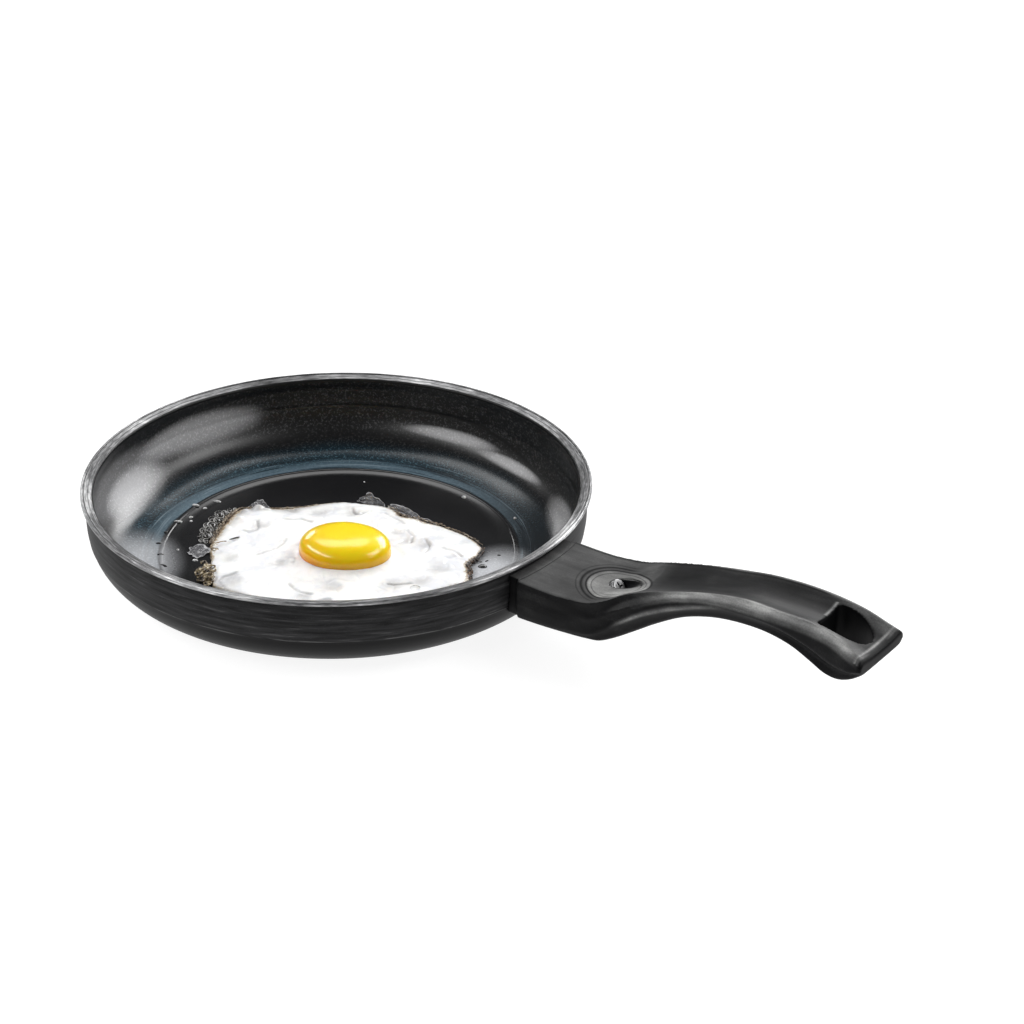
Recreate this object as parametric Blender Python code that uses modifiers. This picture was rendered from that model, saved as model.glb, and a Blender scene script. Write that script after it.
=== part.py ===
"""A fried egg in its 24 cm frying pan, in metres with +Z up.

The origin is the centre of the pan's underside, on the surface that it stands
on. +X points along the handle. The pieces are the pressed pan body, one
moulded handle, the screw in it, the egg white and the yolk set in the white.
"""

import math

import bmesh
import bpy
import numpy as np
from mathutils import Vector

MM = 0.001
GAP = 0.3 * MM  # clearance between pieces that touch

# Pan body: a turned shape with a bulging wall and a turned-out lip.
RIM_RADIUS = 120 * MM
PAN_HEIGHT = 41.5 * MM
BASE_RADIUS = 89 * MM
FLOOR_TOP = 3.2 * MM
FLOOR_RADIUS = 83.5 * MM
WALL = 2.8 * MM
WALL_BULGE = 25 * MM  # how far the wall's control point stands outside its chord
LIP_WIDTH = 5.5 * MM
LIP_RISE = 1.8 * MM  # from the lip's inner edge up to its crest
LIP_DEPTH = 3.0 * MM
CREASE_WIDTH = 2.4 * MM  # raised ring where the floor meets the wall
CREASE_HEIGHT = 0.5 * MM
PAN_STEPS = 70

# Handle: distances along +X from the pan's axis.
HANDLE_START = 108 * MM
HANDLE_END = 289.5 * MM
HANDLE_STEPS = 29
NECK_END = 121.5 * MM  # up to here the sides are set in, beside the pan's wall
NECK_INSET = 1.6 * MM
NECK_STEP = 0.5 * MM  # length of the slope from the neck out to the full width

# Curves along the handle, in mm: each knot is a distance and the values there.
HANDLE_CREST = (  # half-width and height of the top's edges
    (108, 22.9, 37.3),
    (148, 23.3, 37.3),
    (160, 23.5, 39.2),
    (167, 22.2, 42.1),
    (174, 18.8, 45.8),
    (184, 16.7, 49.6),
    (196, 15.3, 53.3),
    (214, 13.2, 57.7),
    (230, 13.0, 60.6),
    (248, 13.7, 61.2),
    (264, 13.2, 60.7),
    (274, 13.6, 58.9),
    (284, 15.0, 54.9),
    (290, 16.6, 51.8),
)
HANDLE_CHANNEL = (  # depth of the channel between the crests
    (108, 0.0),
    (150, 0.0),
    (160, 0.6),
    (166, 1.0),
    (174, 2.5),
    (184, 3.3),
    (196, 3.2),
    (264, 2.8),
    (280, 2.2),
    (290, 1.0),
)
HANDLE_SHOULDER = (  # half-width and height of the upper ridge on the side
    (108, 23.5, 31.0),
    (152, 23.7, 30.6),
    (160, 23.7, 31.4),
    (174, 22.0, 39.6),
    (184, 20.2, 45.2),
    (196, 18.4, 51.0),
    (208, 17.3, 54.6),
    (230, 16.9, 57.8),
    (250, 16.9, 58.6),
    (264, 16.5, 58.0),
    (274, 16.6, 56.4),
    (284, 17.6, 52.8),
    (290, 18.4, 50.6),
)
HANDLE_RIDGE = (  # half-width and height of the lower ridge on the side
    (108, 23.5, 23.0),
    (152, 23.7, 22.4),
    (160, 23.6, 23.8),
    (174, 22.6, 33.3),
    (184, 21.6, 40.2),
    (196, 19.9, 46.3),
    (208, 18.1, 50.9),
    (220, 17.1, 54.5),
    (236, 17.0, 56.0),
    (250, 17.0, 55.0),
    (264, 16.9, 51.5),
    (274, 17.3, 48.0),
    (284, 18.4, 47.4),
    (290, 18.8, 49.0),
)
HANDLE_FLUTE = (  # depth of the flutes above and below the upper ridge
    (108, 0.0),
    (152, 0.0),
    (162, 0.9),
    (172, 1.3),
    (190, 1.2),
    (205, 0.7),
    (220, 0.3),
    (236, 0.0),
    (290, 0.0),
)
HANDLE_BELLY = (  # half-width and height of the underside
    (108, 22.8, 16.8),
    (130, 22.8, 17.0),
    (146, 22.8, 18.0),
    (158, 22.5, 19.0),
    (164, 22.0, 19.8),
    (170, 20.8, 22.6),
    (178, 19.3, 27.6),
    (190, 17.6, 35.6),
    (202, 16.2, 42.3),
    (214, 15.0, 46.2),
    (230, 14.7, 48.7),
    (246, 14.8, 48.4),
    (256, 15.0, 46.2),
    (264, 15.4, 43.0),
    (272, 16.0, 39.9),
    (278, 16.4, 39.7),
    (284, 17.0, 42.2),
    (290, 17.8, 46.8),
)

# Thumb recess in the wedge's top, and the screw's oval hole in its floor.
RECESS_CENTRE = Vector((161.5, 0, 43.2)) * MM
RECESS_RADII = Vector((19, 21.5, 4.2)) * MM
RECESS_TILT = math.radians(-14)
SCREW_MOUTH = Vector((163.2, 0, 39.3)) * MM
SCREW_SLOPE = math.radians(40)  # how steeply the screw dips towards the pan
SCREW_HOLE_RADIUS = 4.2 * MM
SCREW_SINK = 3.6 * MM  # depth of the head's face below the mouth's centre
SCREW_HEAD_RADIUS = 3.8 * MM
SCREW_HEAD_DEPTH = 2.4 * MM
SCREW_SHANK_RADIUS = 1.9 * MM
SCREW_SHANK_LENGTH = 7.0 * MM

# Hanging hole: straight across on the pan's side, round on the other.
HANG_START = 263 * MM
HANG_END = 284 * MM
HANG_HALF_WIDTH = 10.2 * MM
HANG_CORNER = 3.0 * MM

# Egg: the white's outline is an ellipse, turned in the pan, plus lobes and
# dents given as direction in degrees, reach and spread in degrees.
WHITE_CENTRE = Vector((7.7, -5.5)) * MM
WHITE_RADII = (62 * MM, 53 * MM)
WHITE_TURN = 36
WHITE_LOBES = (
    (175, 8.5 * MM, 6.5),
    (187, 7.0 * MM, 12),
    (132, 2.0 * MM, 8),
    (94, -3.5 * MM, 4),
    (80, -6.0 * MM, 14),
    (44, 4.0 * MM, 9),
    (30, -3.0 * MM, 4),
    (12, 5.0 * MM, 5),
    (-24, 2.5 * MM, 8),
    (-59, -2.0 * MM, 10),
    (-89, 3.0 * MM, 8),
    (-117, 6.0 * MM, 9),
    (-150, 2.0 * MM, 8),
)
WHITE_EDGE = 1.3 * MM  # thickness of the thin outer film
WHITE_BODY = 3.4 * MM  # thickness of the set white
WHITE_COLLAR = 5.6 * MM  # thickness where it climbs the yolk
WHITE_RINGS = 11
WHITE_SPOKES = 66

YOLK_CENTRE = Vector((10.6, -8.4, 9.7)) * MM
YOLK_RADII = (21.9 * MM, 18.5 * MM)  # along its length and across it
YOLK_TURN = math.radians(24)  # the length's direction in the pan
YOLK_RISE = 9.5 * MM  # from its widest section to its top
YOLK_DROP = 5.0 * MM  # from its widest section to its underside
YOLK_BLUNTNESS = 2.8  # 2 is an ellipse, more is squarer
YOLK_STEPS = 40


def clear_scene():
    for old in list(bpy.data.objects):
        bpy.data.objects.remove(old, do_unlink=True)


def collection(name):
    made = bpy.data.collections.new(name)
    bpy.context.scene.collection.children.link(made)
    return made


def material(name, colour, roughness, metallic=0.0, coat=0.0):
    made = bpy.data.materials.new(name)
    made.use_nodes = True
    shader = made.node_tree.nodes["Principled BSDF"]
    shader.inputs["Base Color"].default_value = (*colour, 1)
    shader.inputs["Roughness"].default_value = roughness
    shader.inputs["Metallic"].default_value = metallic
    shader.inputs["Coat Weight"].default_value = coat
    return made


def add_object(name, mesh, group, finish=None):
    made = bpy.data.objects.new(name, mesh)
    group.objects.link(made)
    if finish:
        mesh.materials.append(finish)
        mesh.shade_smooth()
        mesh.set_sharp_from_angle(angle=math.radians(35))
    else:
        made.hide_render = True
        made.display_type = "WIRE"
    return made


def mesh_of(name, shape):
    mesh = bpy.data.meshes.new(name)
    shape.to_mesh(mesh)
    shape.free()
    return mesh


def turned(name, profile, steps, group, finish=None):
    """A closed turned solid. The profile is (radius, height) down its outer side."""
    shape = bmesh.new()
    corners = [shape.verts.new((radius, 0, height)) for radius, height in profile]
    for upper, lower in zip(corners, corners[1:]):
        shape.edges.new((upper, lower))
    made = add_object(name, mesh_of(name, shape), group, finish)
    screw = made.modifiers.new("Turn", "SCREW")
    screw.steps = steps
    screw.render_steps = steps
    screw.use_merge_vertices = True
    screw.merge_threshold = 0.01 * MM
    return made


def loft(name, sections, group, finish=None):
    """A closed solid through sections that all have the same number of points."""
    shape = bmesh.new()
    rings = [[shape.verts.new(point) for point in section] for section in sections]
    for ring, following in zip(rings, rings[1:]):
        for here in range(len(ring)):
            ahead = (here + 1) % len(ring)
            shape.faces.new((ring[here], ring[ahead], following[ahead], following[here]))
    shape.faces.new(rings[0][::-1])
    shape.faces.new(rings[-1])
    bmesh.ops.recalc_face_normals(shape, faces=shape.faces)
    return add_object(name, mesh_of(name, shape), group, finish)


def boolean(target, other, operation="DIFFERENCE"):
    cut = target.modifiers.new(operation.title() + " " + other.name, "BOOLEAN")
    cut.operation = operation
    cut.solver = "EXACT"
    cut.object = other


def bezier(start, control, end, count):
    """Points along a quadratic curve, both ends among them."""
    points = []
    for t in np.linspace(0, 1, count):
        point = (1 - t) ** 2 * start + 2 * t * (1 - t) * control + t**2 * end
        points.append((float(point[0]), float(point[1])))
    return points


def wall_curve(offset, foot, count):
    """The pan's wall as (radius, height) from its foot up, offset inwards."""
    low = np.array((BASE_RADIUS, 0.0))
    high = np.array((RIM_RADIUS - LIP_DEPTH, PAN_HEIGHT - LIP_DEPTH))
    chord = high - low
    normal = np.array((chord[1], -chord[0])) / np.hypot(*chord)
    control = (low + high) / 2 + normal * WALL_BULGE
    shift = np.array((-offset, offset * 0.35))
    return bezier(low + foot, control + shift, high + (-offset, 0), count)


def pan_profile():
    """Inner floor centre, out to the crease, up the wall, over the lip and down."""
    inner_foot = np.array((FLOOR_RADIUS + CREASE_WIDTH - BASE_RADIUS, FLOOR_TOP + 0.1 * MM))
    floor = [
        (0.0, FLOOR_TOP),
        (FLOOR_RADIUS * 0.5, FLOOR_TOP),
        (FLOOR_RADIUS, FLOOR_TOP),
        (FLOOR_RADIUS + CREASE_WIDTH * 0.35, FLOOR_TOP + CREASE_HEIGHT),
        (FLOOR_RADIUS + CREASE_WIDTH * 0.7, FLOOR_TOP + CREASE_HEIGHT),
    ]
    inner = wall_curve(WALL, inner_foot, 8)
    lip = [
        (RIM_RADIUS - LIP_WIDTH, PAN_HEIGHT - LIP_RISE),
        (RIM_RADIUS - LIP_WIDTH * 0.55, PAN_HEIGHT - LIP_RISE * 0.35),
        (RIM_RADIUS - 1.0 * MM, PAN_HEIGHT),
        (RIM_RADIUS - 0.2 * MM, PAN_HEIGHT - 0.5 * MM),
        (RIM_RADIUS, PAN_HEIGHT - 1.3 * MM),
        (RIM_RADIUS - 0.6 * MM, PAN_HEIGHT - 2.2 * MM),
    ]
    outer = wall_curve(0.0, np.zeros(2), 9)[::-1]
    base = [(BASE_RADIUS - 0.8 * MM, 0.0), (0.0, 0.0)]
    outer[-1] = (BASE_RADIUS, 0.5 * MM)
    return floor + inner + lip + outer + base


def wall_cutter(group):
    """The pan's outside, one gap larger, for the handle's fitted end."""
    wall = [(radius + GAP, height) for radius, height in wall_curve(0.0, np.zeros(2), 10)]
    top = wall[-1][0]
    profile = [(0.0, 80 * MM), (top, 80 * MM)] + wall[::-1]
    profile += [(BASE_RADIUS, -10 * MM), (0.0, -10 * MM)]
    return turned("wall_cutter", profile, 2 * PAN_STEPS, group)


def curve_at(knots, distance):
    """The values of a smooth curve through the knots, at a distance in mm."""
    table = np.array(knots, float)
    places = table[:, 0]
    slopes = np.gradient(table, places, axis=0)
    index = int(np.searchsorted(places, distance, side="right")) - 1
    index = min(max(index, 0), len(places) - 2)
    span = places[index + 1] - places[index]
    t = (distance - places[index]) / span
    low, high = table[index], table[index + 1]
    value = low + (high - low) * t * t * (3 - 2 * t)
    value += slopes[index] * span * t * (1 - t) ** 2
    value += slopes[index + 1] * span * t * t * (t - 1)
    return value[1:]


def handle_section(distance):
    """A closed cross-section of the handle, from the top's middle round to it."""
    at = distance / MM
    inset = NECK_INSET / MM if distance < NECK_END else 0.0
    crest, top = curve_at(HANDLE_CREST, at)
    (channel,) = curve_at(HANDLE_CHANNEL, at)
    shoulder, shoulder_top = curve_at(HANDLE_SHOULDER, at)
    ridge, ridge_top = curve_at(HANDLE_RIDGE, at)
    (flute,) = curve_at(HANDLE_FLUTE, at)
    belly, bottom = curve_at(HANDLE_BELLY, at)
    crest, shoulder = crest - inset, shoulder - inset
    ridge, belly = ridge - inset, belly - inset
    half = [
        (0.0, top - channel),
        (0.36 * crest, top - 0.86 * channel),
        (0.68 * crest, top - 0.50 * channel),
        (0.90 * crest, top - 0.12 * channel),
        (crest, top),
        ((crest + shoulder) / 2 - 1.2 * flute, (top + shoulder_top) / 2 + 0.2),
        (shoulder, shoulder_top),
        ((shoulder + ridge) / 2 - flute, (shoulder_top + ridge_top) / 2),
        (ridge, ridge_top),
        ((ridge + belly) / 2 - 0.4 * flute, (ridge_top + bottom + 1.6) / 2),
        (belly, bottom + 1.6),
        (0.88 * belly, bottom + 0.3),
        (0.5 * belly, bottom),
        (0.0, bottom),
    ]
    mirrored = [(-side, height) for side, height in half[-2:0:-1]]
    return [(distance, side * MM, height * MM) for side, height in half + mirrored]


def ellipsoid(name, centre, radii, tilt, group):
    """A scaled sphere, tilted about Y."""
    shape = bmesh.new()
    bmesh.ops.create_uvsphere(shape, u_segments=36, v_segments=18, radius=1)
    bmesh.ops.scale(shape, vec=radii, verts=shape.verts)
    made = add_object(name, mesh_of(name, shape), group)
    made.location = centre
    made.rotation_euler = (0, tilt, 0)
    return made


def hang_outline():
    """The hanging hole in plan: rounded corners towards the pan, then an arc."""
    points = []
    for angle in (90, 120, 150, 180):
        turn = math.radians(angle)
        points.append(
            (
                HANG_START + HANG_CORNER * (1 + math.cos(turn)),
                HANG_HALF_WIDTH - HANG_CORNER * (1 - math.sin(turn)),
            )
        )
    points += [(x, -y) for x, y in reversed(points)]
    length = HANG_END - HANG_START - 2 * HANG_CORNER
    for angle in range(-75, 76, 15):
        turn = math.radians(angle)
        points.append(
            (
                HANG_START + 2 * HANG_CORNER + length * math.cos(turn),
                HANG_HALF_WIDTH * math.sin(turn),
            )
        )
    return points


def hang_cutter(group):
    outline = hang_outline()
    levels = (30 * MM, 75 * MM)
    sections = [[(x, y, level) for x, y in outline] for level in levels]
    return loft("hang_cutter", sections, group)


def screw_axis():
    return Vector((-math.cos(SCREW_SLOPE), 0, -math.sin(SCREW_SLOPE)))


def place_on_screw_axis(made, depth):
    made.location = SCREW_MOUTH + screw_axis() * depth
    made.rotation_euler = (0, math.pi / 2 - SCREW_SLOPE, 0)


def screw_hole_cutter(group):
    """The counterbore for the head and the bore for the shank, about +Z."""
    head_seat = -SCREW_HEAD_DEPTH - GAP
    end = head_seat - SCREW_SHANK_LENGTH - GAP
    profile = [
        (0.0, 25 * MM),
        (SCREW_HOLE_RADIUS, 25 * MM),
        (SCREW_HOLE_RADIUS, head_seat),
        (SCREW_SHANK_RADIUS + GAP, head_seat),
        (SCREW_SHANK_RADIUS + GAP, end),
        (0.0, end),
    ]
    made = turned("screw_hole_cutter", profile, 24, group)
    place_on_screw_axis(made, SCREW_SINK)
    return made


def build_screw(group):
    finish = material("screw_steel", (0.55, 0.55, 0.56), 0.3, metallic=1.0)
    profile = [
        (0.0, 0.0),
        (SCREW_HEAD_RADIUS * 0.6, -0.15 * MM),
        (SCREW_HEAD_RADIUS, -0.8 * MM),
        (SCREW_HEAD_RADIUS, -SCREW_HEAD_DEPTH),
        (SCREW_SHANK_RADIUS, -SCREW_HEAD_DEPTH),
        (SCREW_SHANK_RADIUS, -SCREW_HEAD_DEPTH - SCREW_SHANK_LENGTH),
        (0.0, -SCREW_HEAD_DEPTH - SCREW_SHANK_LENGTH),
    ]
    made = turned("handle_screw", profile, 20, group, finish)
    place_on_screw_axis(made, SCREW_SINK)


def build_pan(group):
    finish = material("pan_coating", (0.035, 0.037, 0.04), 0.32, metallic=0.2)
    return turned("pan_body", pan_profile(), PAN_STEPS, group, finish)


def build_handle(group, cutters):
    finish = material("handle_moulding", (0.03, 0.03, 0.031), 0.42)
    neck = [HANDLE_START, NECK_END - NECK_STEP]
    grip = np.linspace(NECK_END, HANDLE_END, HANDLE_STEPS).tolist()
    sections = [handle_section(distance) for distance in neck + grip]
    made = loft("handle", sections, group, finish)
    recess = ellipsoid("recess_cutter", RECESS_CENTRE, RECESS_RADII, RECESS_TILT, cutters)
    for cutter in (
        wall_cutter(cutters),
        recess,
        screw_hole_cutter(cutters),
        hang_cutter(cutters),
    ):
        boolean(made, cutter)


def white_reach(direction):
    """How far the white's outline lies from its centre, in a direction in degrees."""
    turn = math.radians(direction - WHITE_TURN)
    across, along = WHITE_RADII
    reach = 1 / math.hypot(math.cos(turn) / across, math.sin(turn) / along)
    for middle, height, spread in WHITE_LOBES:
        away = (direction - middle + 180) % 360 - 180
        reach += height * math.exp(-0.5 * (away / spread) ** 2)
    return reach


def beyond_yolk(x, y):
    """About how far a place in plan lies outside the yolk's widest section."""
    away = Vector((x - YOLK_CENTRE.x, y - YOLK_CENTRE.y))
    along = away.x * math.cos(YOLK_TURN) + away.y * math.sin(YOLK_TURN)
    across = away.y * math.cos(YOLK_TURN) - away.x * math.sin(YOLK_TURN)
    share = math.hypot(along / YOLK_RADII[0], across / YOLK_RADII[1])
    return max(share - 1, 0.0) * YOLK_RADII[1]


def white_thickness(x, y, share):
    """Thickness of the white at a place, share being 0 at its middle and 1 at its edge."""
    collar = math.exp(-beyond_yolk(x, y) / (5 * MM))
    body = WHITE_BODY + (WHITE_COLLAR - WHITE_BODY) * collar
    swell = 0.6 * MM * math.sin(x / (9 * MM)) * math.cos(y / (11 * MM) + 0.8)
    edge = min(1.0, (1 - share) / 0.28) ** 0.6
    return WHITE_EDGE + (body + swell - WHITE_EDGE) * edge


def build_white(group, cutters):
    finish = material("egg_white", (0.93, 0.93, 0.91), 0.35, coat=0.3)
    shape = bmesh.new()
    floor = FLOOR_TOP + GAP
    middle_height = floor + white_thickness(WHITE_CENTRE.x, WHITE_CENTRE.y, 0.0)
    middle = shape.verts.new((WHITE_CENTRE.x, WHITE_CENTRE.y, middle_height))
    directions = [360 * spoke / WHITE_SPOKES for spoke in range(WHITE_SPOKES)]
    rings = []
    for ring in range(1, WHITE_RINGS + 1):
        share = (ring / WHITE_RINGS) ** 0.8
        points = []
        for direction in directions:
            turn = math.radians(direction)
            reach = white_reach(direction) * share
            x = WHITE_CENTRE.x + reach * math.cos(turn)
            y = WHITE_CENTRE.y + reach * math.sin(turn)
            height = floor + white_thickness(x, y, share)
            points.append(shape.verts.new((x, y, height)))
        rings.append(points)
    rings.append([shape.verts.new((point.co.x, point.co.y, floor)) for point in rings[-1]])
    for spoke in range(WHITE_SPOKES):
        ahead = (spoke + 1) % WHITE_SPOKES
        shape.faces.new((middle, rings[0][spoke], rings[0][ahead]))
        for ring, outer in zip(rings, rings[1:]):
            shape.faces.new((ring[spoke], outer[spoke], outer[ahead], ring[ahead]))
    shape.faces.new(rings[-1][::-1])
    bmesh.ops.recalc_face_normals(shape, faces=shape.faces)
    made = add_object("egg_white", mesh_of("egg_white", shape), group, finish)
    boolean(made, yolk("yolk_cutter", GAP, cutters))


def yolk_profile(grow):
    """The outline along the yolk's length as (radius, height), down its outer side."""
    points = []
    for angle in range(90, -91, -10):
        turn = math.radians(angle)
        tall = (YOLK_RISE if angle > 0 else YOLK_DROP) + grow
        radius = (YOLK_RADII[0] + grow) * max(math.cos(turn), 0.0) ** (2 / YOLK_BLUNTNESS)
        height = tall * math.copysign(abs(math.sin(turn)) ** (2 / YOLK_BLUNTNESS), angle)
        points.append((radius if abs(angle) < 90 else 0.0, height))
    return points


def yolk(name, grow, group, finish=None):
    made = turned(name, yolk_profile(grow), YOLK_STEPS, group, finish)
    made.location = YOLK_CENTRE
    made.rotation_euler = (0, 0, YOLK_TURN)
    made.scale = (1, (YOLK_RADII[1] + grow) / (YOLK_RADII[0] + grow), 1)
    return made


def build_yolk(group):
    finish = material("egg_yolk", (0.95, 0.62, 0.03), 0.18, coat=0.6)
    yolk("egg_yolk", 0.0, group, finish)


def main():
    clear_scene()
    parts = collection("fried_egg_in_pan")
    cutters = collection("cutters")
    build_pan(parts)
    build_handle(parts, cutters)
    build_screw(parts)
    build_white(parts, cutters)
    build_yolk(parts)


main()
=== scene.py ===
"""A fried egg in its frying pan: visible surfaces, finishes, light and camera.

Metres, +Z up. The origin is the centre of the pan's underside and +X points
along the handle, as in the solids that this is built round.
"""

import math
import random

import bpy
import numpy as np
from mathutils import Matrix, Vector
from mathutils.noise import noise


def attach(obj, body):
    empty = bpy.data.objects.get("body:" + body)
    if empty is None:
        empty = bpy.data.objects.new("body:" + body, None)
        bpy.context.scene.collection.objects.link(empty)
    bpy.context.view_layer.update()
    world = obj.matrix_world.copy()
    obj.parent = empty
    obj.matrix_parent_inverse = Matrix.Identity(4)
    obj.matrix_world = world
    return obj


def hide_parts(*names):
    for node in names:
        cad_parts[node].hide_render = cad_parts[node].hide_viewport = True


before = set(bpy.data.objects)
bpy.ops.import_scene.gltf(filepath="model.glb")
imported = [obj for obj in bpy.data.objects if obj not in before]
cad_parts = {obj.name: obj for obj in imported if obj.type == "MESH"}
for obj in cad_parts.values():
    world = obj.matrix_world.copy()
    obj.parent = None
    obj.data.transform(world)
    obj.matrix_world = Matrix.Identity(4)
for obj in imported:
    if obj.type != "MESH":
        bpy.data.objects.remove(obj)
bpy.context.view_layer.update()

MM = 0.001
GAP = 0.3 * MM

# Pan
RIM_RADIUS = 120 * MM
PAN_HEIGHT = 41.5 * MM
BASE_RADIUS = 89 * MM
FLOOR_TOP = 3.2 * MM
DOME_FOOT = 3.3  # in mm, just over the floor: where crumbs, froth and drops stand
FLOOR_RADIUS = 83.5 * MM
WALL = 2.8 * MM
WALL_BULGE = 25 * MM
LIP_DEPTH = 3.0 * MM
CREASE_WIDTH = 2.4 * MM
CREASE_HEIGHT = 0.5 * MM
BAND_LINE = 20.6 * MM  # height of the fine ridge outside, above the dark foot
LIP_FOOT = 38.5 * MM  # bare metal above this
BASE_EDGE = 88.9 * MM
PAN_TURN_STEPS = 240

# Handle: each knot is a distance from the pan's axis and values there, in mm.
HANDLE_START = 108.0
HANDLE_END = 289.5
HANDLE_END_ROUNDING = ((0.45, 0.1), (0.1, 0.3), (0.0, 0.6))  # distance back and inset
NECK_END = 121.5
NECK_INSET = 1.6
HANDLE_CREST = (
    (108, 22.9, 37.3), (148, 23.3, 37.3), (160, 23.5, 39.2), (167, 22.2, 42.1), (174, 18.8, 45.8),
    (184, 16.7, 49.6), (196, 15.3, 53.3), (214, 13.2, 57.7), (230, 13.0, 60.6), (248, 13.7, 61.2),
    (264, 13.2, 60.7), (274, 13.6, 58.9), (284, 15.0, 54.9), (290, 16.6, 51.8),
)
HANDLE_CHANNEL = (
    (108, 0.0), (150, 0.0), (160, 0.6), (166, 1.0), (174, 2.5), (184, 3.3), (196, 3.2), (264, 2.8),
    (280, 2.2), (290, 1.0),
)
HANDLE_SHOULDER = (
    (108, 23.5, 31.0), (152, 23.7, 30.6), (160, 23.7, 31.4), (174, 22.0, 39.6), (184, 20.2, 45.2),
    (196, 18.4, 51.0), (208, 17.3, 54.6), (230, 16.9, 57.8), (250, 16.9, 58.6), (264, 16.5, 58.0),
    (274, 16.6, 56.4), (284, 17.6, 52.8), (290, 18.4, 50.6),
)
HANDLE_RIDGE = (
    (108, 23.5, 23.0), (152, 23.7, 22.4), (160, 23.6, 23.8), (174, 22.6, 33.3), (184, 21.6, 40.2),
    (196, 19.9, 46.3), (208, 18.1, 50.9), (220, 17.1, 54.5), (236, 17.0, 56.0), (250, 17.0, 55.0),
    (264, 16.9, 51.5), (274, 17.3, 48.0), (284, 18.4, 47.4), (290, 18.8, 49.0),
)
HANDLE_FLUTE = (
    (108, 0.0), (152, 0.0), (162, 0.9), (172, 1.3), (190, 1.2), (205, 0.7), (220, 0.3), (236, 0.0),
    (290, 0.0),
)
HANDLE_FLANK = (
    (108, 0.0), (152, 0.0), (172, 0.5), (200, 0.4), (236, 0.6), (256, 1.8), (274, 1.8), (284, 1.0),
    (290, 0.3),
)
HANDLE_BELLY = (
    (108, 22.8, 16.8), (130, 22.8, 17.0), (146, 22.8, 18.0), (158, 22.5, 19.0), (164, 22.0, 19.8),
    (170, 20.8, 22.6), (178, 19.3, 27.6), (190, 17.6, 35.6), (202, 16.2, 42.3), (214, 15.0, 46.2),
    (230, 14.7, 48.7), (246, 14.8, 48.4), (256, 15.0, 46.2), (264, 15.4, 43.0), (272, 16.0, 39.9),
    (278, 16.4, 39.7), (284, 17.0, 42.2), (290, 17.8, 46.8),
)
HANDLE_VOXEL = 0.52 * MM
RECESS_CENTRE = Vector((161.5, 0, 43.2)) * MM
RECESS_RADII = Vector((19, 21.5, 4.2)) * MM
RECESS_TILT = math.radians(-14)
SCREW_MOUTH = Vector((163.2, 0, 39.3)) * MM
SCREW_SLOPE = math.radians(40)
SCREW_TILT = math.pi / 2 - SCREW_SLOPE
SCREW_AXIS = Vector((-math.cos(SCREW_SLOPE), 0, -math.sin(SCREW_SLOPE)))
SCREW_HOLE_RADIUS = 4.2 * MM
SCREW_SINK = 3.6 * MM
SCREW_HEAD_RADIUS = 3.8 * MM
SCREW_HEAD_DEPTH = 2.4 * MM
SCREW_SLOT = (4.4 * MM, 0.9 * MM, 3.0 * MM)
HANG_START = 263 * MM
HANG_END = 284 * MM
HANG_HALF_WIDTH = 10.2 * MM
HANG_CORNER = 3.0 * MM
HANG_CUT = (0.03, 0.075)  # the hole's cutter, from under the handle to over it

# Egg: lobes are direction in degrees, reach and spread in degrees.
WHITE_CENTRE = Vector((7.7, -5.5)) * MM
WHITE_RADII = (62 * MM, 53 * MM)
WHITE_TURN = 36
WHITE_LOBES = (
    (175, 8.5 * MM, 6.5), (187, 7.0 * MM, 12), (132, 2.0 * MM, 8), (94, -3.5 * MM, 4),
    (80, -6.0 * MM, 14), (44, 4.0 * MM, 9), (30, -3.0 * MM, 4), (12, 5.0 * MM, 5), (-24, 2.5 * MM, 8),
    (-59, -2.0 * MM, 10), (-89, 3.0 * MM, 8), (-117, 6.0 * MM, 9), (-150, 2.0 * MM, 8),
)
WHITE_EDGE = 1.3 * MM
WHITE_BODY = 3.4 * MM
WHITE_COLLAR = 5.6 * MM
WHITE_SPOKES = 600
FAINTEST = math.exp(-8)  # browning that is too faint to add
WHITE_RINGS = 96
YOLK_CENTRE = Vector((10.6, -8.4, 9.7)) * MM
YOLK_RADII = (21.9 * MM, 18.5 * MM)
YOLK_TURN = math.radians(24)
YOLK_RISE = 9.5 * MM
YOLK_DROP = 5.0 * MM
YOLK_BLUNTNESS = 2.8


# ---------- Modelling helpers ----------


def select_only(*pieces):
    bpy.ops.object.select_all(action="DESELECT")
    for piece in pieces:
        piece.select_set(True)
    if pieces:
        bpy.context.view_layer.objects.active = pieces[0]


def named(name):
    piece = bpy.context.object
    piece.name = piece.data.name = name
    return piece


def started(name, primitive, **settings):
    """A new piece begun from one of the mesh primitives."""
    select_only()
    getattr(bpy.ops.mesh, f"primitive_{primitive}_add")(**settings)
    return named(name)


def settle(*pieces):
    """Leaves the pieces' objects at the origin, with their places in their meshes."""
    select_only(*pieces)
    bpy.ops.object.transform_apply(location=True, rotation=True, scale=True)


def joined(name, *pieces):
    select_only(*pieces)
    bpy.ops.object.join()
    return named(name)


def edit(piece, mode="VERT", action="DESELECT"):
    """Opens a piece for editing with nothing selected, or with all of it."""
    select_only(piece)
    bpy.ops.object.mode_set(mode="EDIT")
    bpy.ops.mesh.select_mode(type=mode)
    bpy.ops.mesh.select_all(action=action)


def leave_edit():
    bpy.ops.object.mode_set(mode="OBJECT")


def turn_outwards():
    """Points every face of the edited piece outwards, and leaves edit mode."""
    bpy.ops.mesh.select_all(action="SELECT")
    bpy.ops.mesh.normals_make_consistent(inside=False)
    leave_edit()


def modify(piece, kind, **settings):
    """Adds one modifier with its settings and applies it."""
    select_only(piece)
    modifier = piece.modifiers.new(kind.title(), kind)
    for key, value in settings.items():
        setattr(modifier, key, value)
    bpy.ops.object.modifier_apply(modifier=modifier.name)


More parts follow.
